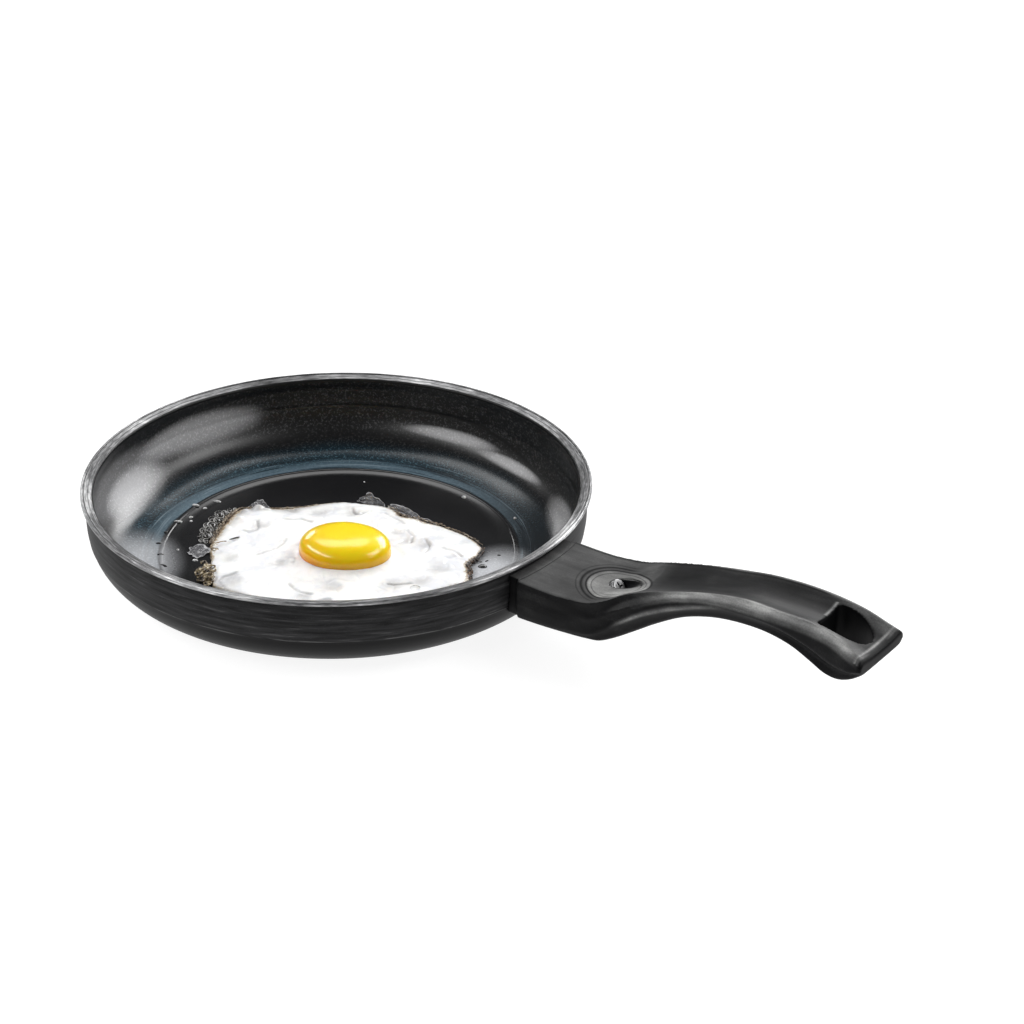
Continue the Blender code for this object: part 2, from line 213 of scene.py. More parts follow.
def cut(piece, cutter):
    modify(piece, "BOOLEAN", object=cutter, operation="DIFFERENCE", solver="EXACT")
    bpy.data.objects.remove(cutter)


def dress(piece, slot, *finishes, degrees=60):
    """Smooths a finished piece, and gives it its materials and its body; the slot is not used."""
    select_only(piece)
    bpy.ops.object.shade_smooth_by_angle(angle=math.radians(degrees))
    piece.data.materials.clear()
    for finish in finishes:
        piece.data.materials.append(finish)
    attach(piece, "root")


def mark(piece, name, values):
    """Stores one number for each vertex, for the piece's material to read."""
    layer = piece.data.attributes.new(name, "FLOAT", "POINT")
    layer.data.foreach_set("value", values)


def reshape(piece, place):
    """Moves every vertex to place(co)."""
    for vertex in piece.data.vertices:
        vertex.co = place(vertex.co.copy())
    piece.data.update()


def spun(name, profile, steps):
    """A line through (radius, height) points, drawn out point by point and spun."""
    piece = started(name, "plane", size=MM)
    edit(piece, action="SELECT")
    bpy.ops.mesh.merge(type="CENTER")
    radius, height = profile[0]
    bpy.ops.transform.translate(value=(radius, 0, height))
    for next_radius, next_height in profile[1:]:
        step = (next_radius - radius, 0, next_height - height)
        bpy.ops.mesh.extrude_vertices_move(TRANSFORM_OT_translate={"value": step})
        radius, height = next_radius, next_height
    bpy.ops.mesh.select_all(action="SELECT")
    bpy.ops.mesh.spin(steps=steps, angle=2 * math.pi, center=(0, 0, 0), axis=(0, 0, 1))
    bpy.ops.mesh.select_all(action="SELECT")
    bpy.ops.mesh.remove_doubles(threshold=0.01 * MM)
    turn_outwards()
    return piece


def wall_curve(offset, foot, count):
    """The pan's wall as (radius, height) from its foot up, offset inwards."""
    low = np.array((BASE_RADIUS, 0.0))
    high = np.array((RIM_RADIUS - LIP_DEPTH, PAN_HEIGHT - LIP_DEPTH))
    chord = high - low
    normal = np.array((chord[1], -chord[0])) / np.hypot(*chord)
    control = (low + high) / 2 + normal * WALL_BULGE
    control = control + np.array((-offset, offset * 0.35))
    low, high = low + foot, high + (-offset, 0)
    points = []
    for share in np.linspace(0, 1, count):
        point = (1 - share) ** 2 * low + 2 * share * (1 - share) * control + share**2 * high
        points.append((float(point[0]), float(point[1])))
    return points


def curve_at(knots, distance):
    """The values of a smooth curve through the knots, at a distance in mm."""
    table = np.array(knots, float)
    places = table[:, 0]
    slopes = np.gradient(table, places, axis=0)
    index = int(np.searchsorted(places, distance, side="right")) - 1
    index = min(max(index, 0), len(places) - 2)
    span = places[index + 1] - places[index]
    t = (distance - places[index]) / span
    low, high = table[index], table[index + 1]
    value = low + (high - low) * t * t * (3 - 2 * t)
    value += slopes[index] * span * t * (1 - t) ** 2
    value += slopes[index + 1] * span * t * t * (t - 1)
    return value[1:]


def step_between(value, low, high):
    """0 below low, 1 above high and smooth between."""
    share = min(max((value - low) / (high - low), 0.0), 1.0)
    return share * share * (3 - 2 * share)


def bell(distance, width, power=2):
    """1 at no distance, falling away smoothly."""
    return math.exp(-((distance / width) ** power))


def lobe(direction, middle, spread):
    """1 in a direction, falling away smoothly on both sides of it, in degrees."""
    away = (direction - middle + 180) % 360 - 180
    return math.exp(-0.5 * (away / spread) ** 2)


def polar(radius, degrees):
    return radius * math.cos(math.radians(degrees)), radius * math.sin(math.radians(degrees))


# ---------- Materials ----------


def paint(red, green, blue):
    """A colour given as 0 to 255 display values, as the linear values that shaders use."""
    linear = []
    for level in (red, green, blue):
        share = level / 255
        linear.append(share / 12.92 if share <= 0.04045 else ((share + 0.055) / 1.055) ** 2.4)
    return (*linear, 1.0)


class Value:
    """A number on its way through a material's nodes."""

    def __init__(self, finish, socket):
        self.finish = finish
        self.socket = socket

    def maths(self, operation, *others):
        return self.finish.maths(operation, self, *others)

    def __add__(self, other):
        return self.maths("ADD", other)

    __radd__ = __add__

    def __sub__(self, other):
        return self.maths("SUBTRACT", other)

    def __rsub__(self, other):
        return self.finish.maths("SUBTRACT", other, self)

    def __mul__(self, other):
        return self.maths("MULTIPLY", other)

    __rmul__ = __mul__

    def __truediv__(self, other):
        return self.maths("DIVIDE", other)


def smoothed(value, low, high):
    """0 at low, 1 at high and smooth between, on a surface."""
    settings = {"interpolation_type": "SMOOTHSTEP", "clamp": True}
    inputs = {"Value": value, "From Min": low, "From Max": high}
    return value.finish.node("ShaderNodeMapRange", settings, inputs)


def ring(value, middle, width):
    """1 at a value, falling smoothly to 0 a width away on both sides."""
    return smoothed((value - middle).maths("ABSOLUTE"), width, 0.0)


def mixed(share, low, high):
    low, high = (paint(*end) if isinstance(end, tuple) else end for end in (low, high))
    settings = {"data_type": "RGBA", "clamp_factor": True}
    return share.finish.node("ShaderNodeMix", settings, {0: share, 6: low, 7: high}, 2)


def ramp(share, *stops):
    """A run of colours: each stop is a place from 0 to 1 and its colour."""
    stops = [(place, paint(*colour)) for place, *colour in stops]
    return share.finish.node("ShaderNodeValToRGB", {"stops": stops}, {"Fac": share})


def highest(first, *others):
    for other in others:
        first = first.maths("MAXIMUM", other)
    return first


class Finish:
    """One material being put together round its Principled shader."""

    def __init__(self, name, **constants):
        self.material = bpy.data.materials.new(name)
        self.material.use_nodes = True
        self.nodes = self.material.node_tree.nodes
        self.links = self.material.node_tree.links
        self.shader = self.nodes["Principled BSDF"]
        for key, value in constants.items():
            socket = key.replace("_", " ").title().replace("Ior", "IOR")
            self.shader.inputs[socket].default_value = value
        place = self.node("ShaderNodeTexCoord", output="Object")
        self.place = place
        parts = self.nodes.new("ShaderNodeSeparateXYZ")
        self.links.new(place.socket, parts.inputs[0])
        self.x, self.y, self.z = (Value(self, socket) for socket in parts.outputs)

    def node(self, kind, settings=None, inputs=None, output=0):
        """A node of a kind: its settings first, then its sockets' values or links."""
        made = self.nodes.new(kind)
        for key, value in (settings or {}).items():
            if key == "stops":
                elements = made.color_ramp.elements
                while len(elements) < len(value):
                    elements.new(0.5)
                for element, (position, colour) in zip(elements, value):
                    element.position = position
                    element.color = colour
            else:
                setattr(made, key, value)
        for key, value in (inputs or {}).items():
            if isinstance(value, Value):
                self.links.new(value.socket, made.inputs[key])
            else:
                made.inputs[key].default_value = value
        return Value(self, made.outputs[output])

    def maths(self, operation, *values):
        return self.node("ShaderNodeMath", {"operation": operation}, dict(enumerate(values)))

    def radius(self):
        return (self.x * self.x + self.y * self.y).maths("SQRT")

    def turn(self):
        return self.y.maths("ARCTAN2", self.x)

    def vector(self, x, y, z):
        return self.node("ShaderNodeCombineXYZ", None, {0: x, 1: y, 2: z})

    def noise(self, scale, detail=3.0, rough=0.55, where=None, bend=0.0):
        inputs = {"Scale": scale, "Detail": detail, "Roughness": rough, "Distortion": bend}
        inputs["Vector"] = where or self.place
        return self.node("ShaderNodeTexNoise", None, inputs)

    def oval(self, x, y, long, wide, degrees=0.0):
        """The distance in plan from a centre in mm, 1 on a turned ellipse's outline."""
        cos, sin = math.cos(math.radians(degrees)), math.sin(math.radians(degrees))
        right, ahead = self.x - x * MM, self.y - y * MM
        along = (right * cos + ahead * sin) / (long * MM)
        across = (ahead * cos - right * sin) / (wide * MM)
        return (along * along + across * across).maths("SQRT")

    def attribute(self, name):
        return self.node("ShaderNodeAttribute", {"attribute_name": name}, None, "Fac")

    def feed(self, **sockets):
        for key, value in sockets.items():
            self.links.new(value.socket, self.shader.inputs[key.replace("_", " ").title()])

    def relief(self, height, distance, strength):
        """Feeds a height, in shares of a distance in mm, as a bump: the material's last step."""
        inputs = {"Height": height, "Distance": distance * MM, "Strength": strength}
        self.feed(normal=self.node("ShaderNodeBump", None, inputs))
        return self.material


# Pale haze painted on the inner wall as reflected light, and a duller coating there:
# direction and spread in degrees, height and half-height in mm, and strength.
WALL_HAZE_AND_DULLING = (
    (196, 17, 14.5, 9.5, 0.85), (200, 26, 21.0, 14.0, 0.40), (168, 23, 24.0, 10.0, 0.85),
    (98, 16, 15.8, 3.4, 1.00), (77, 14, 12.6, 2.8, 0.95), (46, 13, 11.5, 5.5, 0.50),
)


def coating_finish():
    """Non-stick inside: charcoal with mica specks, a blue reflection painted low on the wall, and
    painted haze and dark bands.
    """
    finish = Finish("coating_non_stick", ior=1.5)
    radius = finish.radius()
    turn = finish.turn()
    cloud = finish.noise(30.0, 4.0)
    soft = finish.noise(11.0, 2.0)
    grain = finish.noise(950.0, 2.0, 0.7)
    speckle = smoothed(grain, 0.52, 0.66)
    wall = smoothed(finish.z, 0.0055, 0.014)
    charcoal = mixed(grain, (6, 6, 7), (26, 26, 28))
    upper = mixed(speckle, (18, 18, 18), (76, 76, 77))
    colour = mixed(wall, charcoal, upper)
    # A blue reflection painted in: steel blue by the crease, deeper and grainier up the wall, strongest
    # at the back.
    wobble = (cloud - 0.5) * 0.007 + (grain - 0.5) * 0.007
    edge_in = smoothed(radius, 0.0856, 0.0866)
    edge_out = smoothed(radius + wobble, 0.0975, 0.1080)
    behind = smoothed((turn - 2.55).maths("COSINE") + (soft - 0.5) * 0.7, -0.35, 0.75)
    painted_blue_reflection = edge_in * (1 - edge_out) * (0.15 + behind * 0.85)
    deep = mixed(speckle, (18, 40, 50), (70, 98, 110))
    steel = mixed(grain, (60, 80, 92), (118, 138, 150))
    low = 1 - smoothed(radius + wobble * 0.4, 0.0875, 0.0960)
    colour = mixed(painted_blue_reflection, colour, mixed(low * 0.9, deep, steel))
    # Turned lines, uneven and broken, from the crease up into the tint.
    along = finish.vector(radius + (soft - 0.5) * 0.0012, 0.0, turn * 0.0030)
    lines = finish.noise(520.0, 2.0, 0.6, along)
    near = edge_in * (1 - smoothed(radius, 0.0935, 0.0990))
    colour = mixed(smoothed(lines, 0.47, 0.36) * near * 0.75, colour, (12, 22, 28))
    colour = mixed(smoothed(lines, 0.58, 0.70) * near * 0.45, colour, (146, 164, 174))
    # Soft dark bands painted round the wall as dark reflections, one of them sinking towards the
    # handle.
    bands = finish.noise(150.0, 1.0, 0.5, finish.vector(finish.z, 0.2, turn * 0.0012))
    bands = smoothed(bands, 0.52, 0.38) * wall * 0.7
    sinking = 0.0095 + 0.0155 * smoothed(turn, 0.85, 1.75)
    painted_dark_line = ring(finish.z + (cloud - 0.5) * 0.001, sinking, 0.0022)
    painted_dark_line = painted_dark_line * smoothed(turn, 0.70, 1.0) * (1 - smoothed(turn, 2.0, 2.5))
    colour = mixed(highest(bands, painted_dark_line * 0.9), colour, (5, 5, 6))
    # Pale haze painted on the wall as reflected light, where the coating is also made duller.
    dulling_and_painted_haze = 0.0
    around = turn + turn.maths("LESS_THAN", 0.0) * (2 * math.pi)
    for azimuth, spread, height, half_height, strength in WALL_HAZE_AND_DULLING:
        aside = (around - math.radians(azimuth)) / math.radians(spread)
        above = (finish.z - height * MM) / (half_height * MM)
        dulling_and_painted_haze = smoothed(aside * aside + above * above, 1.0, 0.0) * strength + dulling_and_painted_haze
    sharp_end = 1 - ring(turn, math.radians(147), math.radians(6)) * 0.9
    dulling_and_painted_haze = dulling_and_painted_haze * (0.55 + soft * 0.5 + speckle * 0.4) * sharp_end
    colour = mixed(dulling_and_painted_haze * (1 - painted_blue_reflection * 0.5), colour, (198, 198, 200))
    # A pale bloom low on both sides of the pan's front: floor reflections painted in, and a rougher
    # film of dried fat.
    right = smoothed(finish.oval(75, 20, 22, 38, 20), 1.0, 0.30)
    left = smoothed(finish.oval(-64, -66, 21, 36, 44), 1.0, 0.15) * 0.75
    painted_sheen_and_fat = highest(right, left) * (0.45 + cloud * 0.8 + speckle * 0.35)
    colour = mixed(painted_sheen_and_fat, colour, (210, 212, 216))
    rough = 0.20 + wall * 0.14 + (cloud - 0.5) * 0.10 + painted_sheen_and_fat * 0.3 + dulling_and_painted_haze * 0.15
    finish.feed(base_color=colour, roughness=rough)
    return finish.relief(grain * 0.5 + lines * near * 0.5, 0.02, 0.4)


def enamel_finish():
    """Black outside: satin with faint streaks round it, and blacker below the ridge."""
    finish = Finish("enamel_black", specular_ior_level=0.12)
    round_and_round = finish.vector(finish.turn() * 0.009, finish.z * 1.0, 0.0)
    streaks = finish.noise(560.0, 4.0, 0.62, round_and_round, 0.4)
    upper = smoothed(finish.z, BAND_LINE - 1.2 * MM, BAND_LINE + 0.4 * MM)
    grain = finish.noise(1800.0, 2.0)
    line = ring(finish.z, BAND_LINE, 0.5 * MM)
    satin = ramp(
        streaks,
        (0.30, 9, 9, 10), (0.46, 33, 33, 34), (0.62, 48, 48, 49), (0.74, 84, 84, 85),
    )
    colour = mixed(upper, (4, 4, 5), satin)
    # A pale line painted along the ridge as its highlight.
    colour = mixed(line * smoothed(streaks, 0.44, 0.60), colour, (88, 88, 88))
    colour = mixed(smoothed(grain, 0.60, 0.75) * 0.25 * upper, colour, (80, 80, 80))
    rough = 0.44 + upper * 0.10 + (streaks - 0.5) * 0.12
    finish.feed(base_color=colour, roughness=rough)
    return finish.relief(streaks * 0.4 + grain * 0.3, 0.03, 0.5)


def bare_rim_finish():
    """Bare aluminium lip, dulled, with the coatings' dark edges beside it and shade painted in its
    groove.
    """
    finish = Finish("rim_aluminium", specular_ior_level=0.3)
    radius = finish.radius()
    turned = finish.vector(finish.turn() * 0.012, radius * 1.0, finish.z * 1.0)
    brushed = finish.noise(1700.0, 3.0, 0.6, turned)
    patches = finish.noise(20.0, 4.0, 0.6)
    inner_edge = 1 - smoothed(radius, 0.1147, 0.1150)
    # Shade painted dark along the groove in the lip.
    shade_line = ring(radius, 0.11845, 0.00050)
    scribed = ring(radius, 0.11640, 0.00030) * smoothed(patches, 0.42, 0.52)
    outer_edge = 1 - smoothed(finish.z, 0.0396, 0.0401)
    dark = highest(inner_edge, outer_edge, shade_line, scribed * 0.8)
    share = brushed * 0.45 + patches * 0.65
    metal = ramp(
        share,
        (0.38, 46, 46, 47), (0.50, 104, 104, 105), (0.60, 158, 158, 159), (0.72, 238, 238, 238),
    )
    colour = mixed(dark, metal, (12, 12, 13))
    rough = 0.42 + (brushed - 0.5) * 0.16
    finish.feed(base_color=colour, roughness=rough, metallic=0.6 * (1 - dark))
    return finish.relief(brushed, 0.02, 0.5)


def moulding_finish():
    """Satin phenolic: near black, tops and highlights painted paler, and shade painted in the lines
    round the recess.
    """
    finish = Finish("handle_moulding", specular_ior_level=0.08)
    upward, shaded, rubbed = (finish.attribute(name) for name in ("upward", "shaded", "rubbed"))
    cloud = finish.noise(48.0, 4.0)
    along = finish.noise(240.0, 3.0, 0.55, finish.vector(finish.x * 0.16, finish.y, finish.z), 0.4)
    grain = finish.noise(1500.0, 2.0)
    share = cloud * 0.50 + along * 0.30 + grain * 0.20
    # Tops painted paler than the sides, as lit from above.
    side = ramp(share, (0.38, 10, 10, 11), (0.52, 22, 22, 23), (0.66, 42, 42, 42))
    top = ramp(share, (0.36, 52, 52, 52), (0.52, 72, 72, 72), (0.66, 94, 94, 93))
    grip = smoothed(finish.x, 0.170, 0.184)
    top = mixed(grip * 0.88, top, side)
    colour = mixed(smoothed(upward, 0.45, 0.9), side, top)
    # The thumb recess: a highlight painted paler inside, most on its near side, with shade painted dark
    # in the fine lines round it and round the screw's hole.
    flat = smoothed(upward, 0.55, 0.75) * (1 - smoothed(finish.x, 0.182, 0.185))
    dish = finish.oval(162.0, -3.5, 18.5, 13.0, -29)
    mouth = finish.oval(163.5, 0.0, 7.6, 4.9, -8)
    inside = flat * (1 - smoothed(dish, 0.92, 1.0))
    hollow = ramp(share, (0.36, 100, 100, 100), (0.54, 150, 150, 148), (0.68, 200, 200, 198))
    colour = mixed(inside * (0.4 + (1 - smoothed(finish.y, -0.016, 0.004)) * 0.5), colour, hollow)
    left = 1 - smoothed(finish.x, 0.156, 0.164)
    rings = highest(
        ring(dish, 1.0, 0.060),
        ring(dish, 1.16, 0.085) * left,
        ring(dish, 1.32, 0.050) * left * 0.5,
        ring(dish, 0.84, 0.035) * 0.6,
        ring(dish, 0.70, 0.035) * (1 - left) * 0.8,
        ring(mouth, 1.04, 0.16),
    ) * flat
    # A line cut round the neck beside the pan, with shade painted dark in it.
    neck_shade = ring(finish.radius(), 0.1238, 0.0005) * flat
    dark = highest(rings, neck_shade * 0.8, shaded)
    # Highlights painted paler on the bands, ridges and edges marked on the handle.
    highlight_grey = ramp(share, (0.38, 104, 104, 104), (0.54, 158, 158, 157), (0.68, 210, 210, 208))
    colour = mixed(rubbed * 0.85, colour, highlight_grey)
    colour = mixed(dark, colour, (6, 6, 7))
    rough = 0.46 + (cloud - 0.5) * 0.16 + (grain - 0.5) * 0.12
    finish.feed(base_color=colour, roughness=rough)
    return finish.relief(grain * 0.3 + along * 0.3 - rings * 2.0 - neck_shade * 2.0, 0.06, 0.5)


def speckled_finish(
    name, scale, detail, dark, pale, rough, uneven, depth, strength, contrast=None, **constants
):
    """Two colours, a sheen and a slight relief that all follow one fine pattern."""
    finish = Finish(name, **constants)
    fine = finish.noise(scale, detail)
    share = smoothed(fine, *contrast) if contrast else fine
    finish.feed(base_color=mixed(share, dark, pale), roughness=rough + fine * uneven)
    return finish.relief(fine, depth, strength)


def white_finish():
    """Set egg white: pearly, greyer where thin and with shade painted grey in its dimples and folds,
    tanned and browned along its edge.
    """
    finish = Finish(
        "egg_white_set",
        subsurface_weight=0.35,
        subsurface_scale=2.2 * MM,
        coat_weight=0.3,
        coat_roughness=0.22,
    )
    finish.shader.inputs["Subsurface Radius"].default_value = (1.0, 0.85, 0.7)
    browned, thin = (finish.attribute(name) for name in ("browned", "thin"))
    cloud = finish.noise(85.0, 4.0, 0.6)
    fleck = finish.noise(620.0, 3.0, 0.65)
    milk = mixed(smoothed(cloud, 0.34, 0.60), (230, 231, 234), (254, 254, 252))
    sheer = mixed(smoothed(fleck, 0.35, 0.65), (98, 93, 92), (180, 178, 179))
    veil = mixed(thin * (0.55 + smoothed(fleck + cloud * 0.3, 0.40, 0.80) * 0.45), milk, sheer)
    heat = browned + (smoothed(fleck, 0.38, 0.62) - 0.5) * 0.46 * browned.maths("SQRT")
    toast = ramp(
        heat,
        (0.0, 246, 240, 226), (0.22, 196, 188, 174), (0.42, 148, 128, 100), (0.66, 84, 66, 48),
        (0.95, 36, 27, 20),
    )
    colour = mixed(smoothed(heat, 0.06, 0.28), veil, toast)
    finish.feed(base_color=colour, roughness=0.30 + cloud * 0.14 + browned * 0.2)
    return finish.relief(fleck * 0.6 + cloud * 0.4, 0.08, 0.35)


def yolk_finish():
    """Yolk: bright yellow on top, deepening to orange down its sides with painted shade, under a wet
    skin.
    """
    finish = Finish(
        "egg_yolk_wet",
        subsurface_weight=0.85,
        subsurface_scale=6.5 * MM,
        specular_ior_level=0.3,
        coat_roughness=0.14,
        roughness=0.28,
    )
    finish.shader.inputs["Subsurface Radius"].default_value = (1.0, 0.6, 0.1)
    height = smoothed(finish.z, 7.4 * MM, 17.0 * MM)
    cloud = finish.noise(70.0, 3.0)
    fine = finish.noise(900.0, 2.0)
    # Warmer on the left and at the foot, where it is thickest: painted shade for these least lit parts.
    aside = smoothed(finish.x * 0.81 + finish.y * 0.585, -0.013, 0.004)
    share = height * 0.66 + aside * 0.22 + cloud * 0.14 + fine * 0.03
    colour = ramp(
        share,
        (0.08, 224, 102, 2), (0.18, 250, 150, 3), (0.44, 255, 186, 6), (0.92, 255, 218, 14),
    )
    wet = 0.15 + smoothed(finish.z, 8.0 * MM, 11.5 * MM) * 0.55
    finish.feed(base_color=colour, coat_weight=wet)
    return finish.relief(fine * 0.4 + cloud * 0.6, 0.05, 0.3)


def crisp_finish(name, *stops, scale=420.0, roughness=0.38, coat=0.4):
    """Fried edges and crumbs: a run of colours picked by a fine pattern."""
    finish = Finish(name, coat_weight=coat, coat_roughness=0.2)
    patches = finish.noise(scale, 4.0, 0.62)
    fine = finish.noise(scale * 4.5, 2.0)
    colour = ramp(patches * 0.8 + fine * 0.2, *stops)
    finish.feed(base_color=colour, roughness=roughness + patches * 0.2)
    return finish.relief(patches * 0.5 + fine * 0.5, 0.10, 0.6)


def film_finish():
    """Dried film: a grey see-through skin, whiter and thicker along its edges."""
    finish = Finish("egg_film", coat_weight=0.6, coat_roughness=0.15)
    hem = finish.attribute("hem")
    patches = finish.noise(230.0, 4.0, 0.65, None, 0.8)
    fine = finish.noise(1700.0, 2.0)
    streaks = smoothed(patches, 0.42, 0.72)
    solid = highest(hem * 0.75, streaks * 0.45)
    colour = mixed(solid, (104, 104, 108), (208, 208, 210))
    alpha = 0.36 + solid * 0.50
    finish.feed(base_color=colour, roughness=0.28 + fine * 0.2, alpha=alpha)
    return finish.relief(patches, 0.04, 0.6)


# ---------- Pan ----------


# Shallow turned grooves round the inner wall: height, depth and half-width, in mm.
WALL_GROOVES = ((24.5, 0.30, 1.1), (34.5, 0.16, 1.3))


def grooved(points):
    """The inner wall's points, pushed outwards in the turned grooves."""
    shaped = []
    for radius, height in points:
        for middle, depth, half_width in WALL_GROOVES:
            radius += depth * MM * bell(height / MM - middle, half_width)
        shaped.append((radius, height))
    return shaped


def pan_profile():
    """Inner floor centre, out over the crease, up the wall, over the lip and down."""
    foot = np.array((FLOOR_RADIUS + CREASE_WIDTH - BASE_RADIUS, FLOOR_TOP + 0.1 * MM))
    floor = [(0.0, FLOOR_TOP)]
    floor += [(FLOOR_RADIUS * share, FLOOR_TOP) for share in (0.25, 0.5, 0.75, 0.92, 1.0)]
    crease = []
    for share in np.linspace(0.12, 0.88, 7):
        height = FLOOR_TOP + CREASE_HEIGHT * math.sin(math.pi * share) ** 0.8
        crease.append((FLOOR_RADIUS + CREASE_WIDTH * float(share), height))
    lip = (
        (114.2, 39.2), (114.35, 39.7), (114.7, 40.0), (115.3, 40.2), (116.4, 40.6), (117.5, 41.0),
        (118.1, 41.15), (118.3, 41.05), (118.5, 41.05), (118.7, 41.3), (119.1, 41.5), (119.5, 41.4),
        (119.85, 41.0), (120.0, 40.5), (119.95, 40.0), (119.7, 39.55), (119.2, 39.2), (118.3, 38.85),
        (117.4, 38.6),
    )
    outer = wall_curve(0.0, np.zeros(2), 56)[::-1]
    ridged = [
        (radius + 0.18 * MM * bell(height - BAND_LINE, 0.5 * MM), height) for radius, height in outer
    ]
    ridged[-1] = (BASE_RADIUS, 0.5 * MM)
    base = ((88.75, 0.2), (88.2, 0.0), (86.0, 0.0), (60.0, 0.0), (30.0, 0.0), (0.0, 0.0))
    return (
        floor
        + crease
        + grooved(wall_curve(WALL, foot, 64))
        + [(radius * MM, height * MM) for radius, height in lip]
        + ridged
        + [(radius * MM, height * MM) for radius, height in base]
    )


def build_pan():
    pan = spun("pan_shell", pan_profile(), PAN_TURN_STEPS)
    dress(pan, "pan_aluminium", coating_finish(), enamel_finish(), bare_rim_finish(), degrees=50)
    for polygon in pan.data.polygons:
        centre, normal = polygon.center, polygon.normal
        outwards = centre.x * normal.x + centre.y * normal.y > 0
        if centre.z > LIP_FOOT:
            polygon.material_index = 2
        elif outwards and (centre.z < FLOOR_TOP or centre.to_2d().length > BASE_EDGE) or centre.z < MM:
            polygon.material_index = 1
    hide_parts("pan_body")


# ---------- Handle ----------


def handle_corners(at):
    """A cross-section's corner points, as (side, height), in mm, and which are sharp."""
    inset = NECK_INSET if at < NECK_END else 0.0
    edges = (HANDLE_CREST, HANDLE_SHOULDER, HANDLE_RIDGE, HANDLE_BELLY)
    (crest, top), (shoulder, shoulder_top), (ridge, ridge_top), (belly, bottom) = (
        curve_at(edge, at) - (inset, 0) for edge in edges
    )
    (channel,), (flute,), (flank,) = (
        curve_at(hollow, at) for hollow in (HANDLE_CHANNEL, HANDLE_FLUTE, HANDLE_FLANK)
    )
    return [
        (0.0, top - channel, False),
        (0.36 * crest, top - 0.86 * channel, False),
        (0.68 * crest, top - 0.50 * channel, False),
        (0.90 * crest, top - 0.12 * channel, False),
        (crest, top, True),
        ((crest + shoulder) / 2 - 1.2 * flute, (top + shoulder_top) / 2 + 0.2, False),
        (shoulder, shoulder_top, True),
        ((shoulder + ridge) / 2 - flute, (shoulder_top + ridge_top) / 2, False),
        (ridge, ridge_top, True),
        ((ridge + belly) / 2 - flank, (ridge_top + bottom + 1.6) / 2, False),
        (belly, bottom + 1.6, True),
        (0.88 * belly, bottom + 0.3, False),
        (0.5 * belly, bottom, False),
        (0.0, bottom, False),
    ]


def handle_section(at, inset=0.0):
    """A closed cross-section: curves between the corner points, sharp at the ridges."""
    corners = handle_corners(at)
    steps = 4
    half = []
    for index in range(len(corners) - 1):
        here, ahead = np.array(corners[index][:2]), np.array(corners[index + 1][:2])
        before = np.array(corners[index - 1][:2]) if index else here * (-1, 1) + (here - ahead)
        after = np.array(corners[min(index + 2, len(corners) - 1)][:2])
        tangent = (ahead - before) / 2 if not corners[index][2] else ahead - here
        leaving = (after - here) / 2 if not corners[index + 1][2] else ahead - here
        if index == 0:
            tangent = np.array((ahead[0] - here[0], 0.0))
        if index == len(corners) - 2:
            leaving = np.array((ahead[0] - here[0], 0.0))
        for step in range(steps):
            t = step / steps
            point = (2 * t**3 - 3 * t**2 + 1) * here + (t**3 - 2 * t**2 + t) * tangent
            point = point + (3 * t**2 - 2 * t**3) * ahead + (t**3 - t**2) * leaving
            half.append((float(point[0]), float(point[1])))
    half.append(corners[-1][:2])
    if inset:
        middle = (half[0][1] + half[-1][1]) / 2
        thick = abs(half[0][1] - half[-1][1]) / 2
        wide = max(side for side, height in half)
        half = [
            (side * (1 - inset / wide), middle + (height - middle) * (1 - inset / thick))
            for side, height in half
        ]
    loop = half + [(-side, height) for side, height in half[-2:0:-1]]
    return [Vector((at, side, height)) * MM for side, height in loop]


def loft(name, sections):
    """A ring extruded once for each section, each ring's vertices set to its section."""
    count = len(sections[0])
    piece = started(name, "circle", vertices=count, radius=MM)
    edit(piece, action="SELECT")
    for _ in sections[1:]:
        bpy.ops.mesh.extrude_region_move(TRANSFORM_OT_translate={"value": (MM, 0, 0)})
    leave_edit()
    for index, vertex in enumerate(piece.data.vertices):
        vertex.co = sections[index // count][index % count]
    for first in (0, (len(sections) - 1) * count):
        edit(piece)
        leave_edit()
        for index in range(first, first + count):
            piece.data.vertices[index].select = True
        bpy.ops.object.mode_set(mode="EDIT")
        bpy.ops.mesh.edge_face_add()
        leave_edit()
    edit(piece)
    turn_outwards()
    return piece


def placed(piece, centre, tilt, scale=(1, 1, 1)):
    piece.location, piece.rotation_euler, piece.scale = centre, (0, tilt, 0), scale
    settle(piece)
    return piece


def peg(name, radius, depth, middle):
    """A cylinder along the screw's axis, its middle at a distance down that axis."""
    piece = started(name, "cylinder", vertices=48, radius=radius, depth=depth)
    return placed(piece, SCREW_MOUTH + SCREW_AXIS * middle, SCREW_TILT)


def hang_outline():
    points = []
    for angle in range(90, 181, 15):
        along, across = polar(1, angle)
        y = HANG_HALF_WIDTH - HANG_CORNER * (1 - across)
        points.append((HANG_START + HANG_CORNER * (1 + along), y))
    points += [(x, -y) for x, y in reversed(points)]
    length = HANG_END - HANG_START - 2 * HANG_CORNER
    for angle in range(-80, 81, 8):
        along, across = polar(1, angle)
        x = HANG_START + 2 * HANG_CORNER + length * along
        points.append((x, HANG_HALF_WIDTH * across))
    return points


